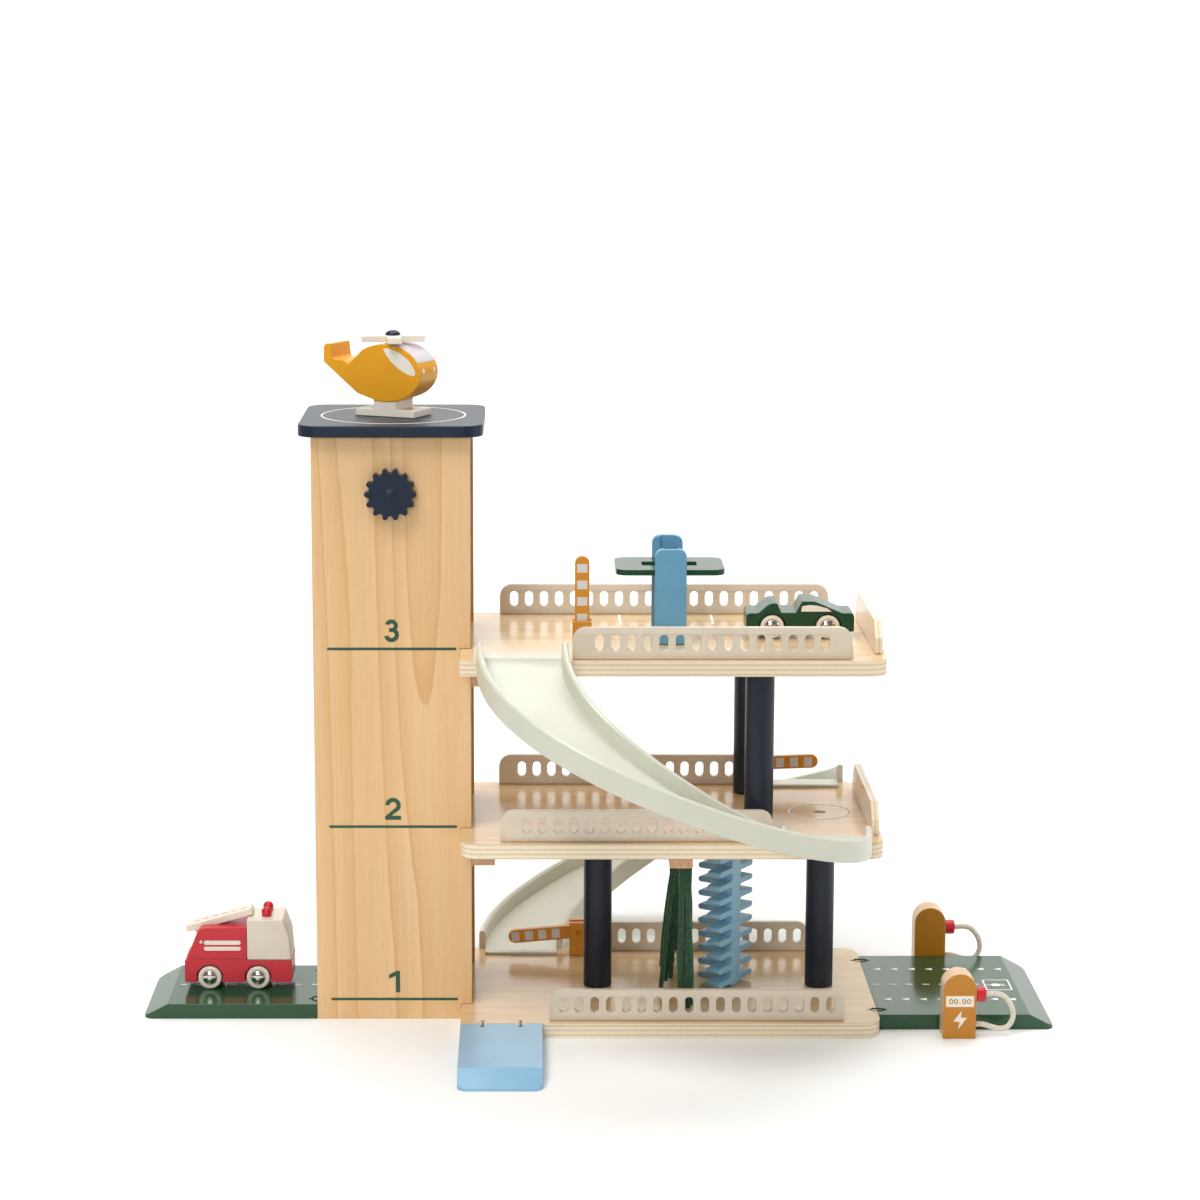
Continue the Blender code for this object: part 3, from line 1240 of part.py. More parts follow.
def helicopter():
    """Helicopter on the pad's middle: slab body on a skid, and a four-bladed rotor."""
    turn = -math.radians(HELI_YAW)
    floor = PAD_TOP + SEAT_GAP
    half = HELI_HEIGHT / 2
    hull = []
    for step in range(23):
        angle = math.radians(-112.0 + step * 11.0)
        hull.append((0.0005 + HELI_HULL * math.cos(angle), HELI_BELLY + half + half * math.sin(angle)))
    tail = rounded([
        (-0.0335, HELI_BELLY + 0.0310, 0.006), (-0.0455, HELI_BELLY + 0.0310, 0.003),
        (-0.0470, HELI_BELLY + 0.0432, 0.001), (-0.0530, HELI_BELLY + 0.0432, 0.003),
        (-0.0535, HELI_BELLY + 0.0290, 0.002), (-0.0240, HELI_BELLY + 0.0058, 0.0),
    ], 3)
    mesh = slab("helicopter_body", hull + tail, HELI_WIDTH)
    body = add_object("helicopter_body", mesh, (TOWER_X, TOWER_Y, floor), mustard_paint())
    body.rotation_euler = (0.0, 0.0, turn)
    low, high = SKID_LENGTH / 2, SKID_COLUMN / 2
    neck = HELI_BELLY + 0.003
    outline = rounded([
        (-low, 0.0, 0.0), (low, 0.0, 0.0), (low, SKID_HEIGHT, 0.0008), (high, SKID_HEIGHT, 0.001),
        (high, neck, 0.0), (-high, neck, 0.0), (-high, SKID_HEIGHT, 0.001), (-low, SKID_HEIGHT, 0.0008),
    ], 2)
    skid = add_guide("skid_guide", slab("skid", outline, HELI_WIDTH - 0.001), body.location)
    skid.rotation_euler = body.rotation_euler
    combine(body, skid, "UNION")
    top = floor + HELI_BELLY + HELI_HEIGHT
    mast = turned("mast", [(0.0, -0.006), (0.002, -0.006), (0.002, 0.0072), (0.0, 0.0072)], "Z", 12)
    combine(body, add_guide("mast_guide", mast, (TOWER_X, TOWER_Y, top)), "UNION")
    place = (TOWER_X, TOWER_Y, top + SLIDE_GAP)
    rotor = add_object("helicopter_rotor", rotor_mesh(), place, cream_paint())
    rotor.rotation_euler = (0.0, 0.0, math.radians(ROTOR_TURN))


def rotor_mesh():
    """Cross of two blades round the mast's hole."""
    half = ROTOR_BLADE_WIDTH / 2
    corners = []
    for quarter in range(4):
        turn = Matrix.Rotation(quarter * math.pi / 2, 2)
        for x, y, radius in ((ROTOR_REACH, -half, 0.001), (ROTOR_REACH, half, 0.001), (half, half, 0.002)):
            corners.append((*(turn @ Vector((x, y))), radius))
    hole = circle_outline(0.0, 0.0, 0.002 + RUN_GAP, 12)
    return plate("helicopter_rotor", rounded(corners, 2), ROTOR_THICKNESS, [hole])


def main():
    clear_scene()
    tower_panel("tower_front_panel", TOWER_FRONT + PANEL_THICKNESS)
    tower_panel("tower_back_panel", TOWER_REAR)
    tower_left_panel()
    landing_pad()
    hoist()
    decks()
    rails()
    posts()
    chutes()
    turntable()
    barriers()
    car_wash()
    car_lift()
    roads()
    stations()
    toy_car()
    fire_engine()
    helicopter()


main()
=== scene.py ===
import math

import bpy
import bmesh
from mathutils import Matrix, Vector


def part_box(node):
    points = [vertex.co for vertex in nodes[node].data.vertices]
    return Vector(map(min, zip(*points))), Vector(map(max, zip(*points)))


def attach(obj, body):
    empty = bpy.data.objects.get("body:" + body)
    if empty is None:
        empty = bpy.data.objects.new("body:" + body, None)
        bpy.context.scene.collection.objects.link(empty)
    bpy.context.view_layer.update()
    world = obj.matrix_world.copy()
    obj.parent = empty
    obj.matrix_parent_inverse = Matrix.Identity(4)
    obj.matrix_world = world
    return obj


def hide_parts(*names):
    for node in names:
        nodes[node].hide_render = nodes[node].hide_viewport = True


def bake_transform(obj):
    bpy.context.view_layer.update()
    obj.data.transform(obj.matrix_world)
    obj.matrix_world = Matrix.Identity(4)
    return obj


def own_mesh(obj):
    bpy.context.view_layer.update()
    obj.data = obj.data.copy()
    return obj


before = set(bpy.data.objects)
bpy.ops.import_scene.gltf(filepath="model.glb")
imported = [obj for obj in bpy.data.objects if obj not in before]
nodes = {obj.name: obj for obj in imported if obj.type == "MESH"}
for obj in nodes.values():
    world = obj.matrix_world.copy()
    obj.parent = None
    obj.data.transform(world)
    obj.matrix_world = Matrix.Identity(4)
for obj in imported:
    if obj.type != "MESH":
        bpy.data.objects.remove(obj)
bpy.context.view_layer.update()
bpy.ops.object.select_all(action="DESELECT")
scene = bpy.context.scene
scene.view_settings.view_transform = "Standard"


# the camera stands where the photograph was taken, a little left of the toy and looking slightly down
cameraSettings = {
    "place": (-0.1064, -2.4218, 0.7682), "tilt": 79.67, "lens": 93.75, "sensor": 36.0, "shift": 0.0553,
}


def addCamera(settings):
    data = bpy.data.cameras.new("photoCamera")
    data.lens = settings["lens"]
    data.sensor_width = settings["sensor"]
    data.shift_x = settings["shift"]
    data.clip_end = 50.0
    camera = bpy.data.objects.new("photoCamera", data)
    camera.location = settings["place"]
    camera.rotation_euler = (math.radians(settings["tilt"]), 0.0, 0.0)
    scene.collection.objects.link(camera)
    scene.camera = camera


addCamera(cameraSettings)
print("camera in place")


# colours and nodes

def linear(hexText, share=1.0):
    values = [int(hexText[start:start + 2], 16) / 255 for start in (0, 2, 4)]
    return (*[(v / 12.92 if v <= 0.04045 else ((v + 0.055) / 1.055) ** 2.4) * share for v in values], 1.0)


def addNode(tree, kind, settings, inputs, out=0, stops=()):
    # an input is linked where it is given a socket, and set where it is given a value or a hex colour
    node = tree.nodes.new("ShaderNode" + kind)
    for name, value in settings.items():
        setattr(node, name, value)
    for name, value in inputs.items():
        if isinstance(value, bpy.types.NodeSocket):
            tree.links.new(value, node.inputs[name])
        else:
            node.inputs[name].default_value = linear(value) if isinstance(value, str) else value
    if stops:
        while len(node.color_ramp.elements) < len(stops):
            node.color_ramp.elements.new(0.5)
        for element, (position, colour) in zip(node.color_ramp.elements, stops):
            element.position = position
            element.color = linear(colour) if isinstance(colour, str) else (colour, colour, colour, 1.0)
    return node.outputs[out]


mixing = {"data_type": "RGBA"}
fraction = {"operation": "FRACT"}
product = {"operation": "MULTIPLY"}
absolute = {"operation": "ABSOLUTE"}
greater = {"operation": "GREATER_THAN"}


def newFinish(name, roughness, **sockets):
    material = bpy.data.materials.new(name)
    material.use_nodes = True
    tree = material.node_tree
    shader = tree.nodes["Principled BSDF"]
    shader.inputs["Roughness"].default_value = roughness
    for socket, value in sockets.items():
        shader.inputs[socket.replace("_", " ")].default_value = value
    return material, tree, shader, addNode(tree, "TexCoord", {}, {}, "Object")


def stretchedNoise(tree, place, scale, detail=2.0, roughness=0.5, distortion=0.0):
    # scale is repeats per metre along X, Y and Z
    stretched = addNode(tree, "Mapping", {}, {"Vector": place, "Scale": scale})
    return addNode(tree, "TexNoise", {}, {"Vector": stretched, "Scale": 1.0, "Detail": detail, "Roughness": roughness,
                                          "Distortion": distortion})


def facingAlong(tree, axis, stops):
    # 1 on faces that look along the axis, 0 on those that look across it
    normal = addNode(tree, "TexCoord", {}, {}, "Normal")
    along = addNode(tree, "SeparateXYZ", {}, {0: normal}, axis)
    return addNode(tree, "ValToRGB", {}, {0: addNode(tree, "Math", absolute, {0: along})}, stops=stops)


def tinted(tree, colour, noise, stops, shade):
    # another shade comes in where the noise is high
    share = addNode(tree, "ValToRGB", {}, {0: noise}, stops=stops)
    return addNode(tree, "Mix", mixing, {0: share, 6: colour, 7: shade}, 2)


def softSurface(tree, shader, colour, relief, strength, distance, edgeRadius=0.0008):
    # the Bevel node rounds how the edges shade, the bump adds the surface's own relief
    tree.links.new(colour, shader.inputs["Base Color"])
    rounding = addNode(tree, "Bevel", {"samples": 4}, {"Radius": edgeRadius})
    bump = addNode(tree, "Bump", {}, {"Strength": strength, "Distance": distance, "Height": relief, "Normal": rounding})
    tree.links.new(bump, shader.inputs["Normal"])


# rotary-cut veneer on board, clear satin lacquer: tall flames up the panel, each sharp on one side, and fine pores
def veneerFinish(name, shift):
    material, tree, shader, place = newFinish(name, 0.42)
    moved = addNode(tree, "Mapping", {}, {"Vector": place, "Location": shift})
    # flames 8 to 20 mm wide and about fifteen times as long, with slightly ragged sides
    ragged = stretchedNoise(tree, moved, (90.0, 90.0, 30.0), 3.0, 0.6)
    field = stretchedNoise(tree, moved, (15.0, 15.0, 1.0), 1.0, 0.4)
    field = addNode(tree, "Math", product, {0: field, 1: 10.0})
    ragged = addNode(tree, "Math", product, {0: ragged, 1: 0.14})
    rings = addNode(tree, "Math", fraction, {0: addNode(tree, "Math", {"operation": "ADD"}, {0: field, 1: ragged})})
    flame = addNode(tree, "ValToRGB", {}, {0: rings}, stops=(
        (0.0, "E2BE8F"), (0.35, "E0BB8A"), (0.8, "DAB17B"), (0.94, "D0A166"), (0.97, "E2BF92"), (1.0, "E2BE8F")))
    broad = stretchedNoise(tree, moved, (22.0, 22.0, 1.6), 3.0, 0.55)
    colour = tinted(tree, flame, broad, ((0.38, 0.0), (0.72, 0.5)), "D9AE79")
    # fibres 0.4 to 1 mm wide run the panel's length, with darker pores among them
    fibres = stretchedNoise(tree, moved, (700.0, 700.0, 14.0), 2.0, 0.6)
    colour = tinted(tree, colour, fibres, ((0.42, 0.0), (0.7, 0.28)), "CFA06A")
    pores = stretchedNoise(tree, moved, (1600.0, 1600.0, 70.0), 2.0, 0.6)
    colour = tinted(tree, colour, pores, ((0.58, 0.0), (0.76, 0.3)), "B98A55")
    gloss = addNode(tree, "ValToRGB", {}, {0: broad}, stops=((0.3, 0.38), (0.75, 0.48)))
    tree.links.new(gloss, shader.inputs["Roughness"])
    softSurface(tree, shader, colour, pores, 0.12, 0.00008)
    return material


def beechColour(tree, place):
    # beech: pinkish, with short dark flecks 2 to 3 mm long
    flecks = stretchedNoise(tree, place, (700.0, 1200.0, 350.0), 2.0, 0.5)
    return addNode(tree, "ValToRGB", {}, {0: flecks}, stops=((0.35, "D0A684"), (0.62, "C39673"), (0.75, "A67A57")))


# birch plywood, clear lacquer: quiet face grain along the board, the plies show as stripes on its edges
def plywoodFinish(name, faceAxis, grainScale, ledger=False):
    material, tree, shader, place = newFinish(name, 0.17, Specular_IOR_Level=0.6)
    clouds = stretchedNoise(tree, place, tuple(s * 0.1 for s in grainScale), 2.0, 0.5, 0.4)
    fibres = stretchedNoise(tree, place, grainScale, 3.0, 0.6)
    face = addNode(tree, "ValToRGB", {}, {0: clouds}, stops=((0.3, "E3C69C"), (0.7, "D6B485")))
    face = tinted(tree, face, fibres, ((0.5, 0.0), (0.8, 0.45)), "C8A172")
    # plies 1.8 mm thick: two pale ones show as one band, with a thin dark glue line between bands
    across = addNode(tree, "SeparateXYZ", {}, {0: place}, faceAxis)
    bands = addNode(tree, "Math", {"operation": "DIVIDE"}, {0: across, 1: 0.0037})
    ply = addNode(tree, "ValToRGB", {}, {0: addNode(tree, "Math", fraction, {0: bands})}, stops=(
        (0.0, "EDDFC8"), (0.55, "E9D9BC"), (0.68, "CFB893"), (0.80, "DAC6A3"), (1.0, "ECDDC4")))
    endGrain = stretchedNoise(tree, place, (900.0, 900.0, 900.0), 2.0, 0.6)
    ply = tinted(tree, ply, endGrain, ((0.45, 0.0), (0.75, 0.4)), "C4A881")
    onFace = facingAlong(tree, faceAxis, ((0.6, 0.0), (0.75, 1.0)))
    colour = addNode(tree, "Mix", mixing, {0: onFace, 6: ply, 7: face}, 2)
    if ledger:
        # the ledger blocks under the decks are beech; the decks lie 143 mm apart
        storeys = addNode(tree, "Math", {"operation": "DIVIDE"}, {0: across, 1: 0.143})
        below = addNode(tree, "Math", greater, {0: addNode(tree, "Math", fraction, {0: storeys}), 1: 0.5})
        colour = addNode(tree, "Mix", mixing, {0: below, 6: colour, 7: beechColour(tree, place)}, 2)
    softSurface(tree, shader, colour, fibres, 0.1, 0.00006)
    return material


# bare beech, sanded and not lacquered: pinkish, matte
def beechFinish(name):
    material, tree, shader, place = newFinish(name, 0.42)
    relief = stretchedNoise(tree, place, (900.0, 900.0, 200.0), 2.0)
    softSurface(tree, shader, beechColour(tree, place), relief, 0.1, 0.00006)
    return material


# sprayed satin lacquer on sanded wood: even colour, faint grain telegraphing through, worn paler on edges
def lacquerColour(tree, place, base, worn, grainScale=(350.0, 350.0, 60.0)):
    clouds = stretchedNoise(tree, place, (35.0, 35.0, 35.0), 3.0, 0.5)
    grain = stretchedNoise(tree, place, grainScale, 2.0, 0.55)
    colour = tinted(tree, base, clouds, ((0.35, 0.0), (0.7, 0.55)), linear(base, 0.86))
    rounding = addNode(tree, "Bevel", {"samples": 4}, {"Radius": 0.0006})
    straight = addNode(tree, "NewGeometry", {}, {}, "Normal")
    bend = addNode(tree, "VectorMath", {"operation": "DOT_PRODUCT"}, {0: rounding, 1: straight}, "Value")
    edge = addNode(tree, "ValToRGB", {}, {0: bend}, stops=((0.80, 1.0), (0.97, 0.0)))
    patches = addNode(tree, "ValToRGB", {}, {0: clouds}, stops=((0.45, 0.15), (0.62, 0.6)))
    scuffed = addNode(tree, "Math", product, {0: edge, 1: patches})
    return addNode(tree, "Mix", mixing, {0: scuffed, 6: colour, 7: worn}, 2), grain


def lacquerFinish(name, base, worn, roughness=0.3, grainScale=(350.0, 350.0, 60.0), gloss=0.5):
    material, tree, shader, place = newFinish(name, roughness, Specular_IOR_Level=gloss)
    colour, grain = lacquerColour(tree, place, base, worn, grainScale)
    softSurface(tree, shader, colour, grain, 0.14, 0.00008)
    return material


# station blocks: faces sprayed, the turned rim left as bare beech
def stationFinish(name, base, worn):
    material, tree, shader, place = newFinish(name, 0.34)
    colour, grain = lacquerColour(tree, place, base, worn)
    onFace = facingAlong(tree, "Y", ((0.4, 0.0), (0.6, 1.0)))
    fibres = stretchedNoise(tree, place, (60.0, 900.0, 60.0), 3.0, 0.6)
    rim = addNode(tree, "ValToRGB", {}, {0: fibres}, stops=((0.3, "E3C29A"), (0.7, "D2AB7E")))
    colour = addNode(tree, "Mix", mixing, {0: onFace, 6: rim, 7: colour}, 2)
    softSurface(tree, shader, colour, grain, 0.12, 0.00008)
    return material


# one sprayed lacquer above a height and another below it, along Z
def twoHeightFinish(name, low, lowWorn, high, highWorn, height, roughness=0.34):
    material, tree, shader, place = newFinish(name, roughness)
    lowColour, grain = lacquerColour(tree, place, low, lowWorn)
    highColour = lacquerColour(tree, place, high, highWorn)[0]
    above = addNode(tree, "Math", greater, {0: addNode(tree, "SeparateXYZ", {}, {0: place}, "Z"), 1: height})
    colour = addNode(tree, "Mix", mixing, {0: above, 6: lowColour, 7: highColour}, 2)
    softSurface(tree, shader, colour, grain, 0.12, 0.00008)
    return material


# injection-moulded ABS: smooth, slightly translucent, faint flow marks along it
def mouldedFinish(name, base, roughness=0.3):
    material, tree, shader, place = newFinish(name, roughness, Subsurface_Weight=0.08, Subsurface_Scale=0.002)
    flow = stretchedNoise(tree, place, (18.0, 18.0, 40.0), 2.0, 0.5, 0.6)
    colour = addNode(tree, "Mix", mixing, {0: flow, 6: base, 7: linear(base, 0.92)}, 2)
    texture = stretchedNoise(tree, place, (1800.0, 1800.0, 1800.0), 1.0)
    softSurface(tree, shader, colour, texture, 0.05, 0.00003, 0.0006)
    return material


# plaited cord, matte: short raised stitches round it, about 1.2 mm long; the low gaps between them are painted darker,
# as painted shade
def cordFinish(name, base, shade, pitch=0.0012):
    material, tree, shader, place = newFinish(name, 0.85, Sheen_Weight=0.3, Sheen_Roughness=0.5)
    cells = addNode(tree, "TexVoronoi", {}, {"Vector": place, "Scale": 1.0 / pitch, "Randomness": 0.6}, "Distance")
    stitchGaps = addNode(tree, "ValToRGB", {}, {0: cells}, stops=((0.1, 0.0), (0.7, 1.0)))
    # painted shade: the gaps between stitches take the darker colour
    colour = addNode(tree, "Mix", mixing, {0: stitchGaps, 6: base, 7: shade}, 2)
    tree.links.new(colour, shader.inputs["Base Color"])
    raised = addNode(tree, "Math", {"operation": "SUBTRACT"}, {0: 1.0, 1: stitchGaps})
    bump = addNode(tree, "Bump", {}, {"Strength": 0.5, "Distance": 0.0003, "Height": raised})
    tree.links.new(bump, shader.inputs["Normal"])
    return material


# stamped and polished steel cap: mirror bright with a few hairline scratches
def steelFinish(name):
    material, tree, shader, place = newFinish(name, 0.12, Metallic=1.0)
    scratches = stretchedNoise(tree, place, (3000.0, 600.0, 3000.0), 2.0, 0.6)
    colour = addNode(tree, "ValToRGB", {}, {0: scratches}, stops=((0.3, "D8D4CC"), (0.7, "B9B4AB")))
    tree.links.new(colour, shader.inputs["Base Color"])
    gloss = addNode(tree, "ValToRGB", {}, {0: scratches}, stops=((0.4, 0.08), (0.7, 0.2)))
    tree.links.new(gloss, shader.inputs["Roughness"])
    return material


# screen-printed ink, a hair thicker in some places than in others
def inkFinish(name, base, roughness=0.4):
    material, tree, shader, place = newFinish(name, roughness)
    speckle = stretchedNoise(tree, place, (900.0, 900.0, 900.0), 3.0, 0.6)
    colour = tinted(tree, base, speckle, ((0.5, 0.0), (0.75, 0.6)), linear(base, 0.85))
    tree.links.new(colour, shader.inputs["Base Color"])
    return material


finishes = {
    "towerFront": veneerFinish("lacqueredVeneer", (0.31, 0.2, 0.02)),
    "towerSide": veneerFinish("lacqueredVeneerSide", (0.05, 0.44, 0.13)),
    "deck": plywoodFinish("lacqueredBirchPlywood", "Z", (70.0, 700.0, 700.0), True),
    "beech": beechFinish("bareBeech"),
    "navy": lacquerFinish("navyLacquer", "172536", "333F4D", 0.36, gloss=0.3),
    "post": lacquerFinish("navyStain", "1C2432", "363E48", 0.4, (500.0, 500.0, 25.0), 0.35),
    "sideRail": plywoodFinish("sandedBirchPlywood", "X", (700.0, 70.0, 700.0)),
    "mustard": lacquerFinish("mustardLacquer", "CB8518", "DDA54C", 0.34),
    "beige": lacquerFinish("beigeLacquer", "D8CBB7", "E6DCCC", 0.34),
    "cream": lacquerFinish("creamLacquer", "E6DCCB", "F1EADD", 0.36),
    "green": lacquerFinish("greenLacquer", "16432A", "335E44", 0.24, (300.0, 300.0, 50.0), 0.4),
    "road": lacquerFinish("roadGreenLacquer", "1B4A2B", "3F6E50", 0.16, (40.0, 400.0, 400.0), 0.5),
    "blue": lacquerFinish("blueLacquer", "649FC1", "8FB7D1", 0.34),
    "paleBlue": lacquerFinish("paleBlueLacquer", "86B4D2", "A6C6DC", 0.24),
    # the roller wears a lighter copy of the blue lacquer: painted light, making up for the deck's shade over it
    "roller": lacquerFinish("rollerBlueLightenedForShade", "8CC0DE", "A8CDE4", 0.34),
    "red": lacquerFinish("redLacquer", "C61B2B", "D2525B", 0.34),
    "station": stationFinish("stationLacquer", "BC7A16", "CF9A4C"),
    "cab": twoHeightFinish("cabLacquer", "DDD2C1", "ECE4D6", "C61B2B", "D2525B", 0.07015),
    "helicopter": twoHeightFinish("helicopterLacquer", "E8DFD0", "F2ECE0", "E6A018", "F2BE5A", 0.48415),
    "chute": mouldedFinish("mouldedAbs", "D0D0C0"),
    "creamCord": cordFinish("plaitedCotton", "E8E1D3", "BDB4A3"),
    "greenCord": cordFinish("plaitedGreenCord", "28633A", "123820", 0.0016),
    "elastic": cordFinish("coveredElastic", "17181A", "050506", 0.0009),
    "tanElastic": cordFinish("tanElastic", "A87E55", "7C5934", 0.0009),
    "steel": steelFinish("polishedSteelCap"),
    "whiteInk": inkFinish("whiteInk", "F6F4EE"),
    "greyInk": inkFinish("paleGreyInk", "CFCAC2"),
    "creamInk": inkFinish("creamInk", "E8DFD0"),
    "greenInk": inkFinish("darkGreenInk", "1F4D33"),
    "redInk": inkFinish("redInk", "D8616A"),
    "ochreInk": inkFinish("ochreInk", "A06A1C"),
    # painted shade: a dark red line stands in for the shadow in the seam along the truck's sides
    "paintedSeamShade": inkFinish("seamShadow", "8E1420"),
    "greenWindow": inkFinish("paleWindowInk", "E9E3D6"),
    "lilacInk": inkFinish("windscreenInk", "CFC8CC", 0.25),
}

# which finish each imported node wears
dressing = {
    "towerFront": ("tower_front_panel", "tower_back_panel"),
    "towerSide": ("tower_left_panel", "lift_carriage", "hoist_spindle"),
    "deck": ("base_deck", "middle_deck", "top_deck", "turntable"),
    "beech": ("wash_block",),
    "navy": ("landing_pad", "gear_knob"),
    "post": ("base_left_post", "base_right_post", "upper_front_post", "upper_rear_post"),
    "mustard": ("top_gate_block", "middle_gate_block", "base_gate_block", "top_gate_arm", "middle_gate_arm",
                "base_gate_arm"),
    "beige": ("top_front_rail", "top_rear_rail", "middle_front_rail", "middle_rear_rail", "base_front_rail",
              "base_rear_rail"),
    "sideRail": ("top_side_rail", "middle_side_rail"),
    "cream": ("helicopter_rotor", "truck_ladder", "car_front_wheels", "car_rear_wheels", "truck_front_wheels",
              "truck_rear_wheels"),
    "green": ("car_body", "car_lift_platform"),
    "road": ("left_road", "right_road"),
    "blue": ("car_lift_front_upright", "car_lift_rear_upright"),
    # the roller's finish is the lighter blue copy, painted light for the shade under the deck
    "roller": ("wash_roller",),
    "paleBlue": ("entry_ramp",),
    "red": ("truck_body", "front_station_nozzle", "rear_station_nozzle"),
    "station": ("front_station", "rear_station"),
    "cab": ("truck_cab",),
    "helicopter": ("helicopter_body",),
    "chute": ("front_chute", "rear_chute"),
    "creamCord": ("lift_cord", "front_station_cord", "rear_station_cord"),
    "greenCord": ("wash_curtain",),
    "elastic": ("left_road_tie", "right_road_tie", "entry_ramp_tie"),
}
for finishName, nodeNames in dressing.items():
    for nodeName in nodeNames:
        nodes[nodeName].data.materials.clear()
        nodes[nodeName].data.materials.append(finishes[finishName])
print("finishes on the packed pieces")


def roundEdges(piece, width, segments=3, sharpest=30.0):
    bevel = piece.modifiers.new("rounded", "BEVEL")
    bevel.width = width
    bevel.segments = segments
    bevel.limit_method = "ANGLE"
    bevel.angle_limit = math.radians(sharpest)


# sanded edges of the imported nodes, by the width of the round; roads and ramp also keep the crease where their flat
# top turns down to the floor, so theirs start at 8 degrees
sanding = {
    (0.0011, 35.0): ("helicopter_body", "truck_cab", "car_body"),
    (0.0008, 35.0): ("truck_body", "landing_pad", "car_lift_platform", *dressing["blue"]),
    (0.0005, 35.0): (*dressing["mustard"], *dressing["post"], *dressing["sideRail"], *dressing["cream"],
                     *dressing["station"], *dressing["chute"], "gear_knob", "wash_block", "front_station_nozzle",
                     "rear_station_nozzle"),
    (0.0007, 8.0): ("left_road", "right_road", "entry_ramp"),
}


def sandEdges(node, width, sharpest):
    # the triangles of a flat face are joined first, so that the round runs along real edges only
    node.data.polygons.foreach_set("use_smooth", [True] * len(node.data.polygons))
    weld = node.modifiers.new("weld", "WELD")
    weld.merge_threshold = 0.00001
    flats = node.modifiers.new("flats", "DECIMATE")
    flats.decimate_type = "DISSOLVE"
    flats.angle_limit = math.radians(0.4)
    roundEdges(node, width, 2, sharpest)
    weighted = node.modifiers.new("weighted", "WEIGHTED_NORMAL")
    weighted.weight = 100
    weighted.keep_sharp = True


for (edgeWidth, sharpest), nodeNames in sanding.items():
    for nodeName in nodeNames:
        sandEdges(nodes[nodeName], edgeWidth, sharpest)
print("edges sanded")


# modelling helpers

def deselectAll():
    if bpy.context.mode != "OBJECT":
        bpy.ops.object.mode_set(mode="OBJECT")
    bpy.ops.object.select_all(action="DESELECT")


def pickOnly(piece):
    deselectAll()
    piece.select_set(True)
    bpy.context.view_layer.objects.active = piece


def applyAll(piece):
    pickOnly(piece)
    for modifier in list(piece.modifiers):
        bpy.ops.object.modifier_apply(modifier=modifier.name)


def settle(piece, matrix=None):
    # the place goes into the mesh, so the object sits at the origin
    bpy.context.view_layer.update()
    piece.data.transform((matrix or Matrix.Identity(4)) @ piece.matrix_world)
    piece.matrix_world = Matrix.Identity(4)


def finishPiece(piece, name, finish, body, smooth=35.0):
    piece.name = name
    piece.data.name = name
    piece.data.materials.clear()
    piece.data.materials.append(finishes[finish])
    pickOnly(piece)
    bpy.ops.object.shade_smooth_by_angle(angle=math.radians(smooth))
    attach(piece, body)
    return piece


def planeAt(origin, right, up):
    # a frame whose X is right, Y is up and Z stands off the surface
    right = Vector(right).normalized()
    up = Vector(up).normalized()
    out = right.cross(up)
    return Matrix((
        (right.x, up.x, out.x, origin[0]), (right.y, up.y, out.y, origin[1]),
        (right.z, up.z, out.z, origin[2]), (0.0, 0.0, 0.0, 1.0),
    ))


def levelAt(height):
    return planeAt((0.0, 0.0, height), (1, 0, 0), (0, 1, 0))


def uprightAt(y, x=0.0, z=0.0, right=1):
    return planeAt((x, y, z), (right, 0, 0), (0, 0, 1))


def turnedTo(place, degrees):
    return Matrix.Translation(place) @ Matrix.Rotation(math.radians(degrees), 4, "Z")


def addCurve(name, lines, dimensions="3D", closed=False):
    curve = bpy.data.curves.new(name, "CURVE")
    curve.dimensions = dimensions
    for line in lines:
        spline = curve.splines.new("POLY")
        spline.points.add(len(line) - 1)
        for point, place in zip(spline.points, line):
            point.co = (*Vector(place).to_3d(), 1.0)
        spline.use_cyclic_u = closed
    piece = bpy.data.objects.new(name, curve)
    scene.collection.objects.link(piece)
    return piece


def addTube(name, lines, radius, finish, resolution=6):
    piece = addCurve(name, lines)
    piece.data.bevel_depth = radius
    piece.data.bevel_resolution = resolution
    piece.data.use_fill_caps = True
    piece.data.materials.append(finishes[finish])
    return piece


def makeMesh(piece):
    pickOnly(piece)
    bpy.ops.object.convert(target="MESH")
    return bpy.context.view_layer.objects.active


def printMark(name, loops, sheet, finish, body, thickness=0.00012):
    # flat inked shapes, each a closed loop; a loop inside another is left open
    piece = addCurve(name, loops, "2D", True)
    piece.data.fill_mode = "BOTH"
    piece.data.extrude = thickness / 2
    piece = makeMesh(piece)
    settle(piece, sheet @ Matrix.Translation((0.0, 0.0, thickness / 2)))
    return finishPiece(piece, name, finish, body)


def cutBoard(name, loops, sheet, thickness, sanded, finish, body):
    # a board sawn to an outline, with holes where a loop lies in another, and its edges sanded round
    piece = printMark(name, loops, sheet, finish, body, thickness)
    pickOnly(piece)
    bpy.ops.object.mode_set(mode="EDIT")
    bpy.ops.mesh.select_all(action="SELECT")
    bpy.ops.mesh.remove_doubles(threshold=0.00001)
    bpy.ops.mesh.normals_make_consistent(inside=False)
    bpy.ops.object.mode_set(mode="OBJECT")
    roundEdges(piece, sanded, 3, 35.0)
    applyAll(piece)
    bpy.ops.object.shade_smooth_by_angle(angle=math.radians(35.0))
    return piece


def rectangle(lowX, lowY, highX, highY):
    return [(lowX, lowY), (highX, lowY), (highX, highY), (lowX, highY)]


def arcPoints(centreX, centreY, radius, first, last, steps=14):
    angles = [math.radians(first + (last - first) * s / steps) for s in range(steps + 1)]
    return [(centreX + radius * math.cos(a), centreY + radius * math.sin(a)) for a in angles]


def pill(lowX, lowY, highX, highY):
    radius = (highY - lowY) / 2
    middle = (lowY + highY) / 2
    right = arcPoints(highX - radius, middle, radius, -90, 90, 8)
    return [*right, *arcPoints(lowX + radius, middle, radius, 90, 270, 8)]


def circle(centreX, centreY, radius, steps=64):
    return arcPoints(centreX, centreY, radius, 0, 360, steps)[:-1]


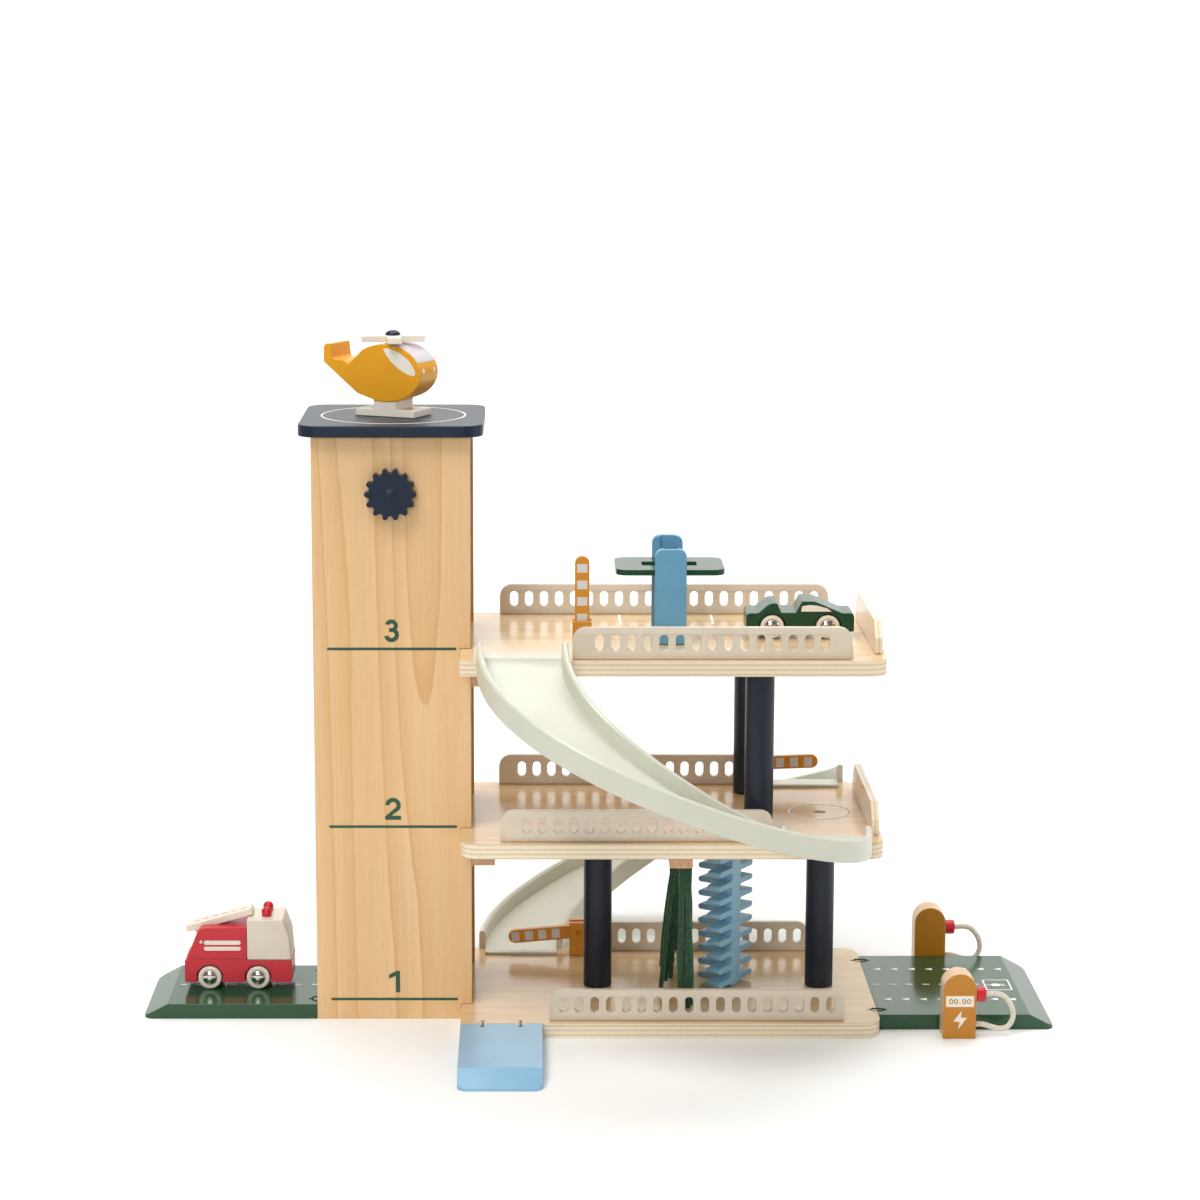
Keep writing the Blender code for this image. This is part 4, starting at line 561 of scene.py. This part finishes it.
def smoothThrough(points, steps):
    # points on a smooth line through the given ones
    chain = [Vector(p) for p in points]
    chain = [chain[0] * 2 - chain[1], *chain, chain[-1] * 2 - chain[-2]]
    line = []
    for index in range(1, len(chain) - 2):
        p0, p1, p2, p3 = chain[index - 1:index + 3]
        for step in range(steps):
            t = step / steps
            spot = 2 * p1 + (p2 - p0) * t + (2 * p0 - 5 * p1 + 4 * p2 - p3) * t * t
            line.append((spot + (3 * p1 - p0 - 3 * p2 + p3) * t * t * t) / 2)
    line.append(chain[-2])
    return line


# charging cords: cotton cord from the foot of each block, up and back into its red plug
stationCord = {
    "radius": 0.0021, "plugEnd": (0.2444, 0.0330), "blockSide": (0.2361, 0.0090), "across": 0.0925,
    "rise": ((0.2510, 0.0335), (0.2574, 0.0320), (0.2628, 0.0265), (0.2656, 0.0195), (0.2655, 0.0130),
             (0.2620, 0.0070), (0.2560, 0.0052), (0.2490, 0.0068), (0.2420, 0.0088)),
}


def addStationCord(side, y, settings):
    name = side + "StationCord"
    route = [settings["plugEnd"], *settings["rise"], settings["blockSide"]]
    line = smoothThrough([(x, y, z) for x, z in reversed(route)], 3)
    piece = addTube(name, [line], settings["radius"], "creamCord")
    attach(piece, side + "_charger")
    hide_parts(side + "_station_cord")


addStationCord("front", -stationCord["across"], stationCord)
addStationCord("rear", stationCord["across"], stationCord)
print("charging cords")

# elastic that ties each road on: out of the fixed side, over the joint, down through the road and along its groove
roadTies = {
    "radius": 0.0006, "inset": 0.0050, "over": 0.0129, "groove": 0.0013, "bend": 0.0010,
    # the stretch across the joint
    "blendFrom": -0.002, "blendTo": 0.004,
    # its finish, joint's place, turn, spacing of its two holes, its road's body, where it enters the fixed side
    "ties": {
        "left_road_tie": ("elastic", (-0.2773, 0.0, 0.0), 180.0, 0.076, "left_road_board",
                          ((-0.006, 0.0146), (-0.001, 0.0146))),
        "right_road_tie": ("elastic", (0.1633, 0.0, 0.0), 0.0, 0.132, "right_road_board",
                           ((-0.0048, 0.004), (-0.0048, 0.0129))),
        "entry_ramp_tie": ("tanElastic", (-0.13125, -0.1013, 0.0), -90.0, 0.0295, "entry_board",
                           ((-0.0048, 0.004), (-0.0048, 0.0129))),
    },
}


def tieLine(settings, spacing, fixedEnd):
    inset = settings["inset"]
    profile = [*fixedEnd, (inset, settings["over"]), (inset, settings["groove"])]
    knots = [Vector((x, -spacing / 2, z)) for x, z in profile]
    knots += [Vector((x, spacing / 2, z)) for x, z in reversed(profile)]
    line = [knots[0]]
    for before, here, after in zip(knots, knots[1:], knots[2:]):
        first = here + (before - here).normalized() * settings["bend"]
        last = here + (after - here).normalized() * settings["bend"]
        line += [first, (first + here * 2 + last) / 4, last]
    return [*line, knots[-1]]


def addRoadTie(name, settings):
    finish, joint, turn, spacing, board, fixedEnd = settings["ties"][name]
    place = turnedTo(joint, turn)
    line = [place @ point for point in tieLine(settings, spacing, fixedEnd)]
    piece = makeMesh(addTube(name.title().replace("_", ""), [line], settings["radius"], finish))
    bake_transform(piece)
    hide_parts(name)


for tieName in roadTies["ties"]:
    addRoadTie(tieName, roadTies)

# lift cord, from the drum's side down to the carriage
liftCord = {"place": (-0.2047, 0.0560), "low": 0.0723, "high": 0.4195, "radius": 0.0010, "travel": 0.286, "steps": 12}


def addLiftCord(settings):
    x, y = settings["place"]
    low, high, steps = settings["low"], settings["high"], settings["steps"]
    line = [(x, y, low + (high - low) * step / steps) for step in range(steps + 1)]
    piece = makeMesh(addTube("liftCord", [line], settings["radius"], "creamCord"))
    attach(piece, "structure")
    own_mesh(piece)
    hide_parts("lift_cord")


addLiftCord(liftCord)
print("ties and lift cord")


# printed floor lines and numbers up the tower's front
towerPrint = {
    "front": -0.052, "left": -0.2662, "right": -0.1660, "lineHeights": (0.2978, 0.1563, 0.0162),
    "lineWidth": 0.0021, "middle": -0.2161, "numberRise": 0.0055,
}

# bold round numerals 17.6 mm high, drawn in millimetres from the middle of their foot
numerals = {
    "1": [(1.0, 0.0), (4.4, 0.0), (4.4, 17.6), (1.6, 17.6), (-4.3, 14.4), (-4.3, 10.9), (1.0, 13.6)],
    "2": [*arcPoints(0.0, 11.6, 6.1, 178, -36), (-1.2, 3.3), (6.2, 3.3), (6.2, 0.0), (-6.2, 0.0), (-6.2, 2.7),
          *arcPoints(0.0, 11.6, 2.7, -36, 178)],
    "3": [*arcPoints(-0.1, 12.7, 5.0, 165, -38), *arcPoints(-0.1, 5.6, 5.8, 32, -168),
          *arcPoints(-0.1, 5.6, 2.5, -168, 70), (-1.9, 7.8), (-1.9, 10.9), *arcPoints(-0.1, 12.7, 1.8, -68, 165)],
}


def addTowerPrint(settings):
    front = uprightAt(settings["front"])
    half = settings["lineWidth"] / 2
    lines = [pill(settings["left"], z - half, settings["right"], z + half) for z in settings["lineHeights"]]
    printMark("towerLines", lines, front, "greenInk", "structure")
    for words, z in zip("321", settings["lineHeights"]):
        spot = front @ Matrix.Translation((settings["middle"], z + settings["numberRise"], 0.0))
        loop = [(x / 1000, y / 1000) for x, y in numerals[words]]
        printMark("towerNumber" + words, [loop], spot, "greenInk", "structure")


addTowerPrint(towerPrint)

# white ring on the landing pad, pale ring round the turntable
rings = {
    "padRing": {"middle": (-0.216, 0.009), "outer": 0.0569, "inner": 0.0555, "steps": 128, "top": 0.4723},
    "turntableRing": {"middle": (0.122, 0.0), "outer": 0.0256, "inner": 0.0243, "steps": 96, "top": 0.155},
}


def addRing(name, settings):
    loops = [circle(*settings["middle"], settings[edge], settings["steps"]) for edge in ("outer", "inner")]
    printMark(name, loops, levelAt(settings["top"]), "whiteInk", "structure")


addRing("padRing", rings["padRing"])

# parking bay on the top deck: two side lines and a thin one between them
bay = {"sides": (-0.0366, 0.0383), "front": 0.0498, "back": 0.0900, "half": 0.00105, "gap": 0.0002, "thin": 0.0007,
       "top": 0.298}


def addBay(settings):
    front, half = settings["front"], settings["half"]
    loops = [rectangle(x - half, front, x + half, settings["back"]) for x in settings["sides"]]
    left, right = settings["sides"]
    reach = half + settings["gap"]
    loops.append(rectangle(left + reach, front, right - reach, front + settings["thin"]))
    printMark("parkingBay", loops, levelAt(settings["top"]), "whiteInk", "structure")


addBay(bay)
addRing("turntableRing", rings["turntableRing"])

# road markings: a dashed middle line on both roads, rows of arrows beside it on the right one
roadMarks = {
    "top": 0.012, "left": {"first": -0.2853, "step": -0.0132, "count": 9, "length": 0.0054, "width": 0.0014,
                           "middle": -0.0005},
    "right": {"first": 0.1672, "step": 0.0132, "count": 7, "length": 0.0056, "width": 0.0014, "middle": 0.0},
    "arrows": {"rows": (0.0413, -0.0392), "first": 0.1715, "step": 0.01410, "count": 8, "length": 0.0058,
               "half": 0.0030},
}
onRoad = levelAt(roadMarks["top"])


def dashes(settings):
    middle, half = settings["middle"], settings["width"] / 2
    starts = [settings["first"] + k * settings["step"] for k in range(settings["count"])]
    return [rectangle(x, middle - half, x + settings["length"], middle + half) for x in starts]


def arrows(settings):
    loops = []
    for y in settings["rows"]:
        for k in range(settings["count"]):
            x = settings["first"] + k * settings["step"]
            tail = x + settings["length"]
            loops.append([(x, y), (tail, y - settings["half"]), (tail, y + settings["half"])])
    return loops


printMark("leftRoadDashes", dashes(roadMarks["left"]), onRoad, "whiteInk", "left_road_board")
printMark("rightRoadMarks", [*arrows(roadMarks["arrows"]), *dashes(roadMarks["right"])], onRoad, "whiteInk",
          "right_road_board")
print("prints on tower, decks and roads")

# charging sign on the right road: a framed plug, its parts given from the frame's middle
chargeSign = {
    "low": (0.2562, -0.0152), "high": (0.2775, 0.0120), "line": 0.0012,
    "body": (-0.0050, -0.0035, 0.0028, 0.0035),
    "prongs": ((0.0030, 0.0010, 0.0062, 0.0022), (0.0030, -0.0022, 0.0062, -0.0010)),
    "lead": (-0.0085, -0.0006, -0.0052, 0.0006),
}


def addChargeSign(settings):
    (lowX, lowY), (highX, highY) = settings["low"], settings["high"]
    line = settings["line"]
    loops = [rectangle(lowX, lowY, highX, highY), rectangle(lowX + line, lowY + line, highX - line, highY - line)]
    printMark("chargeSignFrame", loops, onRoad, "whiteInk", "right_road_board")
    middle = onRoad @ Matrix.Translation(((lowX + highX) / 2, (lowY + highY) / 2, 0.0))
    plug = [pill(*settings["body"]), *[rectangle(*bar) for bar in (*settings["prongs"], settings["lead"])]]
    printMark("chargeSignPlug", plug, middle, "whiteInk", "right_road_board")


addChargeSign(chargeSign)

# four pale squares on both faces of each barrier arm, measured out from its pivot
barrierPrint = {
    "halfLength": 0.0033, "halfWidth": 0.0039, "armHalf": 0.0025, "count": 4,
    # arm: pivot, lift, first square, step
    "arms": {
        "top": ((-0.0695, -0.08195, 0.3178), 90.0, 0.0104, 0.0128),
        "middle": ((0.0695, 0.08545, 0.1748), 2.0, 0.0150, 0.0116),
        "base": ((-0.0695, 0.08545, 0.0318), 185.0, 0.0186, 0.0112),
    },
}


def addBarrierPrint(name, settings):
    (px, py, pz), degrees, first, step = settings["arms"][name]
    lift = math.radians(degrees)
    along = Vector((math.cos(lift), 0.0, math.sin(lift)))
    length, width = settings["halfLength"], settings["halfWidth"]
    centres = [first + k * step for k in range(settings["count"])]
    loops = [rectangle(centre - length, -width, centre + length, width) for centre in centres]
    for side, label in ((-1, "Front"), (1, "Back")):
        up = Vector((0.0, side, 0.0)).cross(along)
        sheet = planeAt((px, py + side * settings["armHalf"], pz), along, up)
        printMark(name + "Barrier" + label, loops, sheet, "greyInk", name + "_arm")


for gateName in barrierPrint["arms"]:
    addBarrierPrint(gateName, barrierPrint)
print("barrier squares")

# station display and bolt; the display shows four zeros and a point, as a pump's does at rest
stationPrint = {
    "front": -0.1025, "rear": 0.1025, "mirror": 0.446, "display": (0.2122, 0.0258, 0.2338, 0.0345),
    "zeros": (-0.0069, -0.0032, 0.0032, 0.0069), "zeroMiddle": (0.2230, 0.0302), "zeroHalf": (0.0016, 0.0020),
    "stroke": 0.0007, "point": 0.0004, "above": 0.00013,
    "bolt": ((0.2246, 0.0227), (0.2181, 0.0142), (0.2232, 0.0137), (0.2219, 0.0079), (0.2286, 0.0169),
             (0.2239, 0.0174)),
}


def displayDigits(settings):
    midX, midZ = settings["zeroMiddle"]
    halfX, halfZ = settings["zeroHalf"]
    digits = [circle(midX, midZ - halfZ + settings["point"], settings["point"], 12)]
    for shift in settings["zeros"]:
        for inset in (0.0, settings["stroke"]):
            digits.append([(midX + shift + px * (halfX - inset), midZ + pz * (halfZ - inset))
                           for px, pz in circle(0.0, 0.0, 1.0, 32)])
    return digits


def addStationPrint(name, sheet, settings):
    body = name + "_charger"
    printMark(name + "StationDisplay", [rectangle(*settings["display"])], sheet, "creamInk", body)
    raised = sheet @ Matrix.Translation((0.0, 0.0, settings["above"]))
    printMark(name + "StationDigits", displayDigits(settings), raised, "ochreInk", body)
    printMark(name + "StationBolt", [settings["bolt"]], sheet, "creamInk", body)


addStationPrint("front", uprightAt(stationPrint["front"]), stationPrint)
# the rear block faces away, so its print is on its far side
addStationPrint("rear", uprightAt(stationPrint["rear"], stationPrint["mirror"], right=-1), stationPrint)
print("station prints")


def addSidePrints(name, loops, local, half, body, finish):
    # the same marks on both sides of a vehicle, mirrored on its far side
    near = local @ uprightAt(-half)
    far = local @ uprightAt(half, right=-1)
    printMark(name + "Near", loops, near, finish, body)
    printMark(name + "Far", [[(-px, pz) for px, pz in loop] for loop in loops], far, finish, body)


# helicopter: windows on both faces, windscreen band over the nose, two lamps, knob on the rotor
helicopterLook = {
    "axis": (-0.216, 0.009), "belly": 0.4843, "yaw": -25.4, "halfWidth": 0.0153,
    "window": ((-0.0003, 0.0413), (0.0036, 0.0416), (0.0128, 0.0387), (0.0220, 0.0324), (0.0269, 0.0248),
               (0.0262, 0.0213), (0.0206, 0.0222), (0.0121, 0.0267), (0.0043, 0.0337), (0.0001, 0.0400)),
    # the hull's ellipse: where its middle is along the nose, and its two half axes
    "hullMiddle": 0.0005, "hull": 0.031, "half": 0.0223,
    "screenFrom": 23.0, "screenTo": 76.0, "screenSteps": 18, "screenLift": 0.00012, "screenInset": 0.0004,
    "screenThickness": 0.0001, "lampAngle": 6.0, "lampLift": 0.00006, "lampAcross": 0.009, "lampRadius": 0.0019,
    "knobRadius": 0.0060, "knobFlatness": 0.62, "knobRise": 0.0063, "knobRim": 0.0005,
}
helicopterFrame = turnedTo((*helicopterLook["axis"], helicopterLook["belly"]), helicopterLook["yaw"])


def addWindscreen(settings):
    # a curved patch that follows the hull's ellipse over its full width
    bpy.ops.mesh.primitive_grid_add(x_subdivisions=settings["screenSteps"], y_subdivisions=2, size=2.0)
    piece = bpy.context.view_layer.objects.active
    first, last, lift = settings["screenFrom"], settings["screenTo"], settings["screenLift"]
    for vertex in piece.data.vertices:
        angle = math.radians(first + (last - first) * (vertex.co.x + 1.0) / 2.0)
        x = settings["hullMiddle"] + (settings["hull"] + lift) * math.cos(angle)
        z = settings["half"] + (settings["half"] + lift) * math.sin(angle)
        vertex.co = (x, -vertex.co.y * (settings["halfWidth"] - settings["screenInset"]), z)
    settle(piece, helicopterFrame)
    solidify = piece.modifiers.new("ink", "SOLIDIFY")
    solidify.thickness = settings["screenThickness"]
    solidify.offset = 0.0
    applyAll(piece)
    finishPiece(piece, "helicopterWindscreen", "lilacInk", "helicopter")


def addLamps(settings):
    angle = math.radians(settings["lampAngle"])
    hull, half = settings["hull"], settings["half"]
    nose = Vector((settings["hullMiddle"] + hull * math.cos(angle), 0.0, half * (1.0 + math.sin(angle))))
    out = Vector((math.cos(angle) / hull, 0.0, math.sin(angle) / half)).normalized()
    right = Vector((0.0, 1.0, 0.0))
    for side, name in ((-1, "Near"), (1, "Far")):
        spot = nose + Vector((settings["lampLift"], side * settings["lampAcross"], 0.0))
        sheet = helicopterFrame @ planeAt(spot, right, out.cross(right))
        lamp = circle(0.0, 0.0, settings["lampRadius"], 32)
        printMark("lamp" + name, [lamp], sheet, "creamInk", "helicopter")


def addDome(radius, flatness, cutAt, rim, location=(0.0, 0.0, 0.0)):
    # a sphere cut off level, pressed flat and rounded along its rim
    bpy.ops.mesh.primitive_uv_sphere_add(segments=32, ring_count=16, radius=radius, location=location)
    piece = bpy.context.view_layer.objects.active
    bpy.ops.object.mode_set(mode="EDIT")
    bpy.ops.mesh.bisect(plane_co=(*location[:2], cutAt), plane_no=(0, 0, 1), use_fill=True, clear_inner=True)
    bpy.ops.object.mode_set(mode="OBJECT")
    for vertex in piece.data.vertices:
        vertex.co.z *= flatness
    roundEdges(piece, rim)
    applyAll(piece)
    return piece


def addRotorKnob(settings):
    # turned navy cap on the rotor's pin
    place = (*settings["axis"], 0.0)
    piece = addDome(settings["knobRadius"], settings["knobFlatness"], 0.0, settings["knobRim"], place)
    piece.location.z = settings["belly"] + 2 * settings["half"] + settings["knobRise"]
    settle(piece)
    finishPiece(piece, "rotorKnob", "navy", "rotor")


# a turned plug closes the bore of the tower's knob, painted with it
knobPlug = {"place": (-0.216, -0.06265, 0.4195), "radius": 0.0048, "depth": 0.0005, "edge": 0.0001}


def addCylinder(radius, depth, place, tilt, edge, segments):
    bpy.ops.mesh.primitive_cylinder_add(vertices=32, radius=radius, depth=depth, location=place,
                                        rotation=(math.radians(tilt), 0, 0))
    piece = bpy.context.view_layer.objects.active
    settle(piece)
    roundEdges(piece, edge, segments)
    applyAll(piece)
    return piece


helicopterWindow = smoothThrough([(x, 0.0, z) for x, z in (*helicopterLook["window"], helicopterLook["window"][0])], 4)
addSidePrints("helicopterWindow", [[(p.x, p.z) for p in helicopterWindow[:-1]]], helicopterFrame,
              helicopterLook["halfWidth"], "helicopter", "greenWindow")
addWindscreen(helicopterLook)
addLamps(helicopterLook)
finishPiece(addCylinder(knobPlug["radius"], knobPlug["depth"], knobPlug["place"], 90, knobPlug["edge"], 2), "knobPlug",
            "navy", "hoist")
addRotorKnob(helicopterLook)
print("helicopter details")

# vehicle prints, given from the middle of the vehicle on the ground
carLook = {
    "place": (0.1026, 0.002, 0.2983), "halfWidth": 0.017,
    "window": ((0.0005, 0.0220), (0.0014, 0.0263), (0.0071, 0.0272), (0.0127, 0.0268), (0.0212, 0.0244),
               (0.0245, 0.0220)),
}
truckLook = {
    "place": (-0.3423, 0.005, 0.0123), "halfWidth": 0.019, "pin": (-0.0299, 0.0392, 0.0011, 20),
    "stripes": ((-0.0277, 0.0369, 0.0018, 0.0403), (-0.0277, 0.0321, 0.0018, 0.0353)),
    "seam": (-0.0395, 0.0252, 0.0068, 0.0256),
}
onTruck = Matrix.Translation(truckLook["place"])
addSidePrints("carWindow", [carLook["window"]], Matrix.Translation(carLook["place"]), carLook["halfWidth"], "car",
              "greenWindow")
addSidePrints("truckStripes", [*[pill(*stripe) for stripe in truckLook["stripes"]], circle(*truckLook["pin"])], onTruck,
              truckLook["halfWidth"], "fire_engine", "creamInk")
# painted shade along the seam on both sides of the truck, as a thin dark red line
addSidePrints("truckSeamShade", [rectangle(*truckLook["seam"])], onTruck, truckLook["halfWidth"], "fire_engine",
              "paintedSeamShade")

# ladder rungs: six red dashes along its upper face
ladderLook = {
    "pivot": (-0.3723, 0.005, 0.0513), "lean": 15.6, "top": 0.0131, "first": -0.0040, "step": 0.0078, "length": 0.0048,
    "half": 0.00085, "count": 6,
}


def addLadderRungs(settings):
    lean = math.radians(settings["lean"])
    along = Vector((math.cos(lean), 0.0, math.sin(lean)))
    out = Vector((-math.sin(lean), 0.0, math.cos(lean)))
    sheet = planeAt(Vector(settings["pivot"]) + out * settings["top"], along, Vector((0.0, 1.0, 0.0)))
    half = settings["half"]
    starts = [settings["first"] + k * settings["step"] for k in range(settings["count"])]
    loops = [pill(start, -half, start + settings["length"], half) for start in starts]
    printMark("ladderRungs", loops, sheet, "redInk", "ladder")


addLadderRungs(ladderLook)
print("vehicle prints")

# domed steel caps pressed over the axle ends
hubCaps = {
    "radius": 0.0057, "height": 0.0021, "cut": 0.0008, "rim": 0.00025, "sunk": 0.0002,
    # wheelset's body, its middle, half the width over its wheels
    "wheels": (
        ("car_front_axle", 0.08075, 0.002, 0.3078, 0.017), ("car_rear_axle", 0.12445, 0.002, 0.3078, 0.017),
        ("fire_engine_front_axle", -0.3270, 0.005, 0.0218, 0.019),
        ("fire_engine_rear_axle", -0.3657, 0.005, 0.0218, 0.019),
    ),
}


def addCaps(settings):
    master = addDome(settings["radius"], settings["height"] / settings["radius"], settings["cut"], settings["rim"])
    for body, x, y, z, half in settings["wheels"]:
        for side, label in ((-1, "Near"), (1, "Far")):
            cap = bpy.data.objects.new("cap", master.data.copy())
            scene.collection.objects.link(cap)
            place = Matrix.Translation((x, y + side * (half - settings["sunk"]), z))
            settle(cap, place @ Matrix.Rotation(math.radians(-90.0 * side), 4, "X"))
            finishPiece(cap, "hubCap_%s_%s" % (body, label), "steel", body)
    bpy.data.objects.remove(master)


addCaps(hubCaps)
print("hub caps")

# slotted rails: sawn from 5 mm board, slots milled through with a round cutter
railLook = {
    "corner": 0.010, "slotWidth": 0.0067, "slotHeight": 0.0127, "slotMiddle": 0.0126, "sanded": 0.0007,
    # rail: first slot's middle from its left end, pitch, how many
    "rails": {
        "top_front_rail": (0.0203, 0.01226, 15), "top_rear_rail": (0.0116, 0.01226, 21),
        "middle_front_rail": (0.0202, 0.01206, 15), "middle_rear_rail": (0.0189, 0.01222, 15),
        "base_front_rail": (0.0106, 0.01219, 18), "base_rear_rail": (0.0195, 0.01219, 15),
    },
}


def addRail(name, settings):
    low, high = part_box(name)
    length, height = high[0] - low[0], high[2] - low[2]
    corner = settings["corner"]
    loops = [[(0.0, 0.0), (length, 0.0), *arcPoints(length - corner, height - corner, corner, 0, 90, 8),
              *arcPoints(corner, height - corner, corner, 90, 180, 8)]]
    first, pitch, count = settings["rails"][name]
    radius = settings["slotWidth"] / 2
    middle, reach = settings["slotMiddle"], settings["slotHeight"] / 2 - radius
    for k in range(count):
        x = first + k * pitch
        head = arcPoints(x, middle + reach, radius, 0, 180, 8)
        loops.append([*head, *arcPoints(x, middle - reach, radius, 180, 360, 8)])
    front = uprightAt(high[1], low[0], low[2])
    piece = cutBoard(name.title().replace("_", ""), loops, front, high[1] - low[1], settings["sanded"],
                     "beige", "structure")
    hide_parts(name)


for railName in railLook["rails"]:
    addRail(railName, railLook)
print("slotted rails")

# car wash roller: a comb with fingers on both sides, and a half comb set into its back, from 12 mm board
rollerLook = {
    "axis": (0.051, 0.0), "low": 0.0132, "high": 0.1418, "thickness": 0.0116, "turn": 56.7, "reach": 0.0262,
    "core": 0.0064, "finger": 0.0046, "root": 0.0018, "pitch": 0.0114, "first": 0.0046, "sanded": 0.0009,
    "overlap": 0.0004, "pinLow": 0.0082, "pinHigh": 0.1468, "pinRadius": 0.0038, "pinEdge": 0.0006,
}


def combSide(settings):
    # right side of the comb from its foot to its head: round finger tips, round roots
    height = settings["high"] - settings["low"]
    half, root, core = settings["finger"] / 2, settings["root"], settings["core"]
    side = [(core, 0.0)]
    middle = settings["first"]
    while middle + half < height:
        side += arcPoints(core + root, middle - half - root, root, 180, 90, 3)
        side += arcPoints(settings["reach"] - half, middle, half, -90, 90, 6)
        side += arcPoints(core + root, middle + half + root, root, -90, -180, 3)
        middle += settings["pitch"]
    return [point for point in [*side, (core, height)] if 0.0 <= point[1] <= height]


def addRoller(settings):
    half = settings["thickness"] / 2
    right = combSide(settings)
    double = [*right, *[(-px, pz) for px, pz in reversed(right)]]
    inside = half - settings["overlap"]
    single = [*right, (inside, right[-1][1]), (inside, right[0][1])]
    parts = []
    for name, loop, turn in (("rollerComb", double, 0.0), ("rollerHalfComb", single, 90.0)):
        spin = turnedTo((*settings["axis"], settings["low"]), settings["turn"] + turn)
        upright = spin @ uprightAt(half)
        parts.append(cutBoard(name, [loop], upright, settings["thickness"], settings["sanded"], "roller",
                              "roller"))
    low, high = settings["pinLow"], settings["pinHigh"]
    middle = (*settings["axis"], (low + high) / 2)
    pin = addCylinder(settings["pinRadius"], high - low, middle, 0, settings["pinEdge"], 3)
    parts.append(finishPiece(pin, "rollerPin", "roller", "roller"))
    for piece in parts:
        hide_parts("wash_roller")


addRoller(rollerLook)
print("car wash roller")

# car wash curtain: three rows of cords hang from a strip, most straight, four of them leaning to the left
curtain = {
    "stripLow": (0.0060, -0.081, 0.1325), "stripHigh": (0.0160, 0.081, 0.1344), "hem": 0.0006, "cordRadius": 0.0019,
    "sunk": 0.0008, "foot": 0.0172, "rows": 7, "pitch": 0.0245, "columns": (0.0082, 0.0112, 0.0142), "spread": 0.0013,
    "leaning": {(2, 0): -0.0130, (3, 0): -0.0085, (4, 0): -0.0105, (3, 1): -0.0066},
}


def curtainCord(row, column, settings):
    # one cord, each a little different in where it starts, bends and ends
    y = (row - (settings["rows"] - 1) / 2) * settings["pitch"]
    top = settings["stripLow"][2] + settings["sunk"]
    x = settings["columns"][column] + 0.0008 * math.sin(3.1 * row + column)
    drift = settings["spread"] * (math.sin(2.3 * row + 1.9 * column) + column)
    drift = settings["leaning"].get((row, column), drift)
    bend = 0.0014 * math.sin(1.7 * row + 2.0 * column)
    foot = settings["foot"] - 0.0025 * math.cos(2.3 * row + column)
    return smoothThrough([
        (x, y, top), (x + bend * 0.4, y, top - 0.020),
        (x + drift * 0.45 + bend, y + 0.001 * column, (top + foot) / 2 + 0.012),
        (x + drift * 0.8 - bend * 0.3, y - 0.001, foot + 0.030), (x + drift, y, foot),
    ], 6)


def addCurtain(settings):
    lines = [curtainCord(row, column, settings)
             for row in range(settings["rows"]) for column in range(len(settings["columns"]))]
    cords = makeMesh(addTube("washCurtain", lines, settings["cordRadius"], "greenCord", 4))
    settle(cords)
    finishPiece(cords, "washCurtainCords", "greenCord", "structure", 60.0)

    low, high = Vector(settings["stripLow"]), Vector(settings["stripHigh"])
    bpy.ops.mesh.primitive_cube_add(size=1.0, location=(low + high) / 2)
    strip = bpy.context.view_layer.objects.active
    strip.scale = high - low
    settle(strip)
    roundEdges(strip, settings["hem"])
    applyAll(strip)
    finishPiece(strip, "washCurtainStrip", "greenCord", "structure")
    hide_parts("wash_curtain")


addCurtain(curtain)
print("car wash curtain")

# studio: pale sweep below and behind, key from the left front, fill from the front, soft top and right, backdrop lit
studio = {
    "floorHex": "F6F6F4", "back": 2.6, "front": -1.2, "halfWidth": 5.0, "bend": 1.2, "height": 4.0, "steps": 12,
    "sky": 0.22,
    # place, target, size, power
    "lights": {
        "keyLight": ((-0.9, -1.2, 2.5), (0.0, 0.0, 0.15), 1.3, 42.0),
        "fillLight": ((-0.7, -3.0, 1.15), (0.0, 0.0, 0.2), 1.2, 25.0),
        "topLight": ((0.3, 0.5, 2.6), (0.0, 0.1, 0.0), 2.0, 14.0),
        "sideLight": ((2.4, -0.5, 1.0), (0.0, 0.0, 0.2), 1.4, 16.0),
        "backdropLight": ((0.0, 1.1, 2.9), (0.0, 2.6, 0.9), 2.6, 60.0),
    },
}


def addSweep(settings):
    bpy.ops.mesh.primitive_plane_add(size=1.0)
    sweep = bpy.context.view_layer.objects.active
    bend, halfWidth = settings["bend"], settings["halfWidth"]
    corner = arcPoints(settings["back"] - bend, bend, bend, -90, 0, settings["steps"])
    profile = [(settings["front"], 0.0), *corner, (settings["back"], settings["height"])]
    bm = bmesh.new()
    left, right = [[bm.verts.new((x, y, z)) for y, z in profile] for x in (-halfWidth, halfWidth)]
    for index in range(len(profile) - 1):
        bm.faces.new((left[index], right[index], right[index + 1], left[index + 1]))
    bm.to_mesh(sweep.data)
    bm.free()
    sweep.name = "studioSweep"
    # matte painted board, pale and plain
    material = newFinish("paintedSweep", 0.75, Base_Color=linear(settings["floorHex"]))[0]
    sweep.data.materials.append(material)
    sweep.data.shade_smooth()


def addLights(settings):
    for name, (place, target, size, power) in settings["lights"].items():
        data = bpy.data.lights.new(name, "AREA")
        data.shape = "SQUARE"
        data.size = size
        data.energy = power
        light = bpy.data.objects.new(name, data)
        light.location = place
        light.rotation_euler = (Vector(target) - Vector(place)).to_track_quat("-Z", "Y").to_euler()
        scene.collection.objects.link(light)
    world = bpy.data.worlds.new("studioSky")
    world.use_nodes = True
    world.node_tree.nodes["Background"].inputs["Color"].default_value = (1.0, 1.0, 1.0, 1.0)
    world.node_tree.nodes["Background"].inputs["Strength"].default_value = settings["sky"]
    scene.world = world


addSweep(studio)
addLights(studio)
deselectAll()
print("studio")
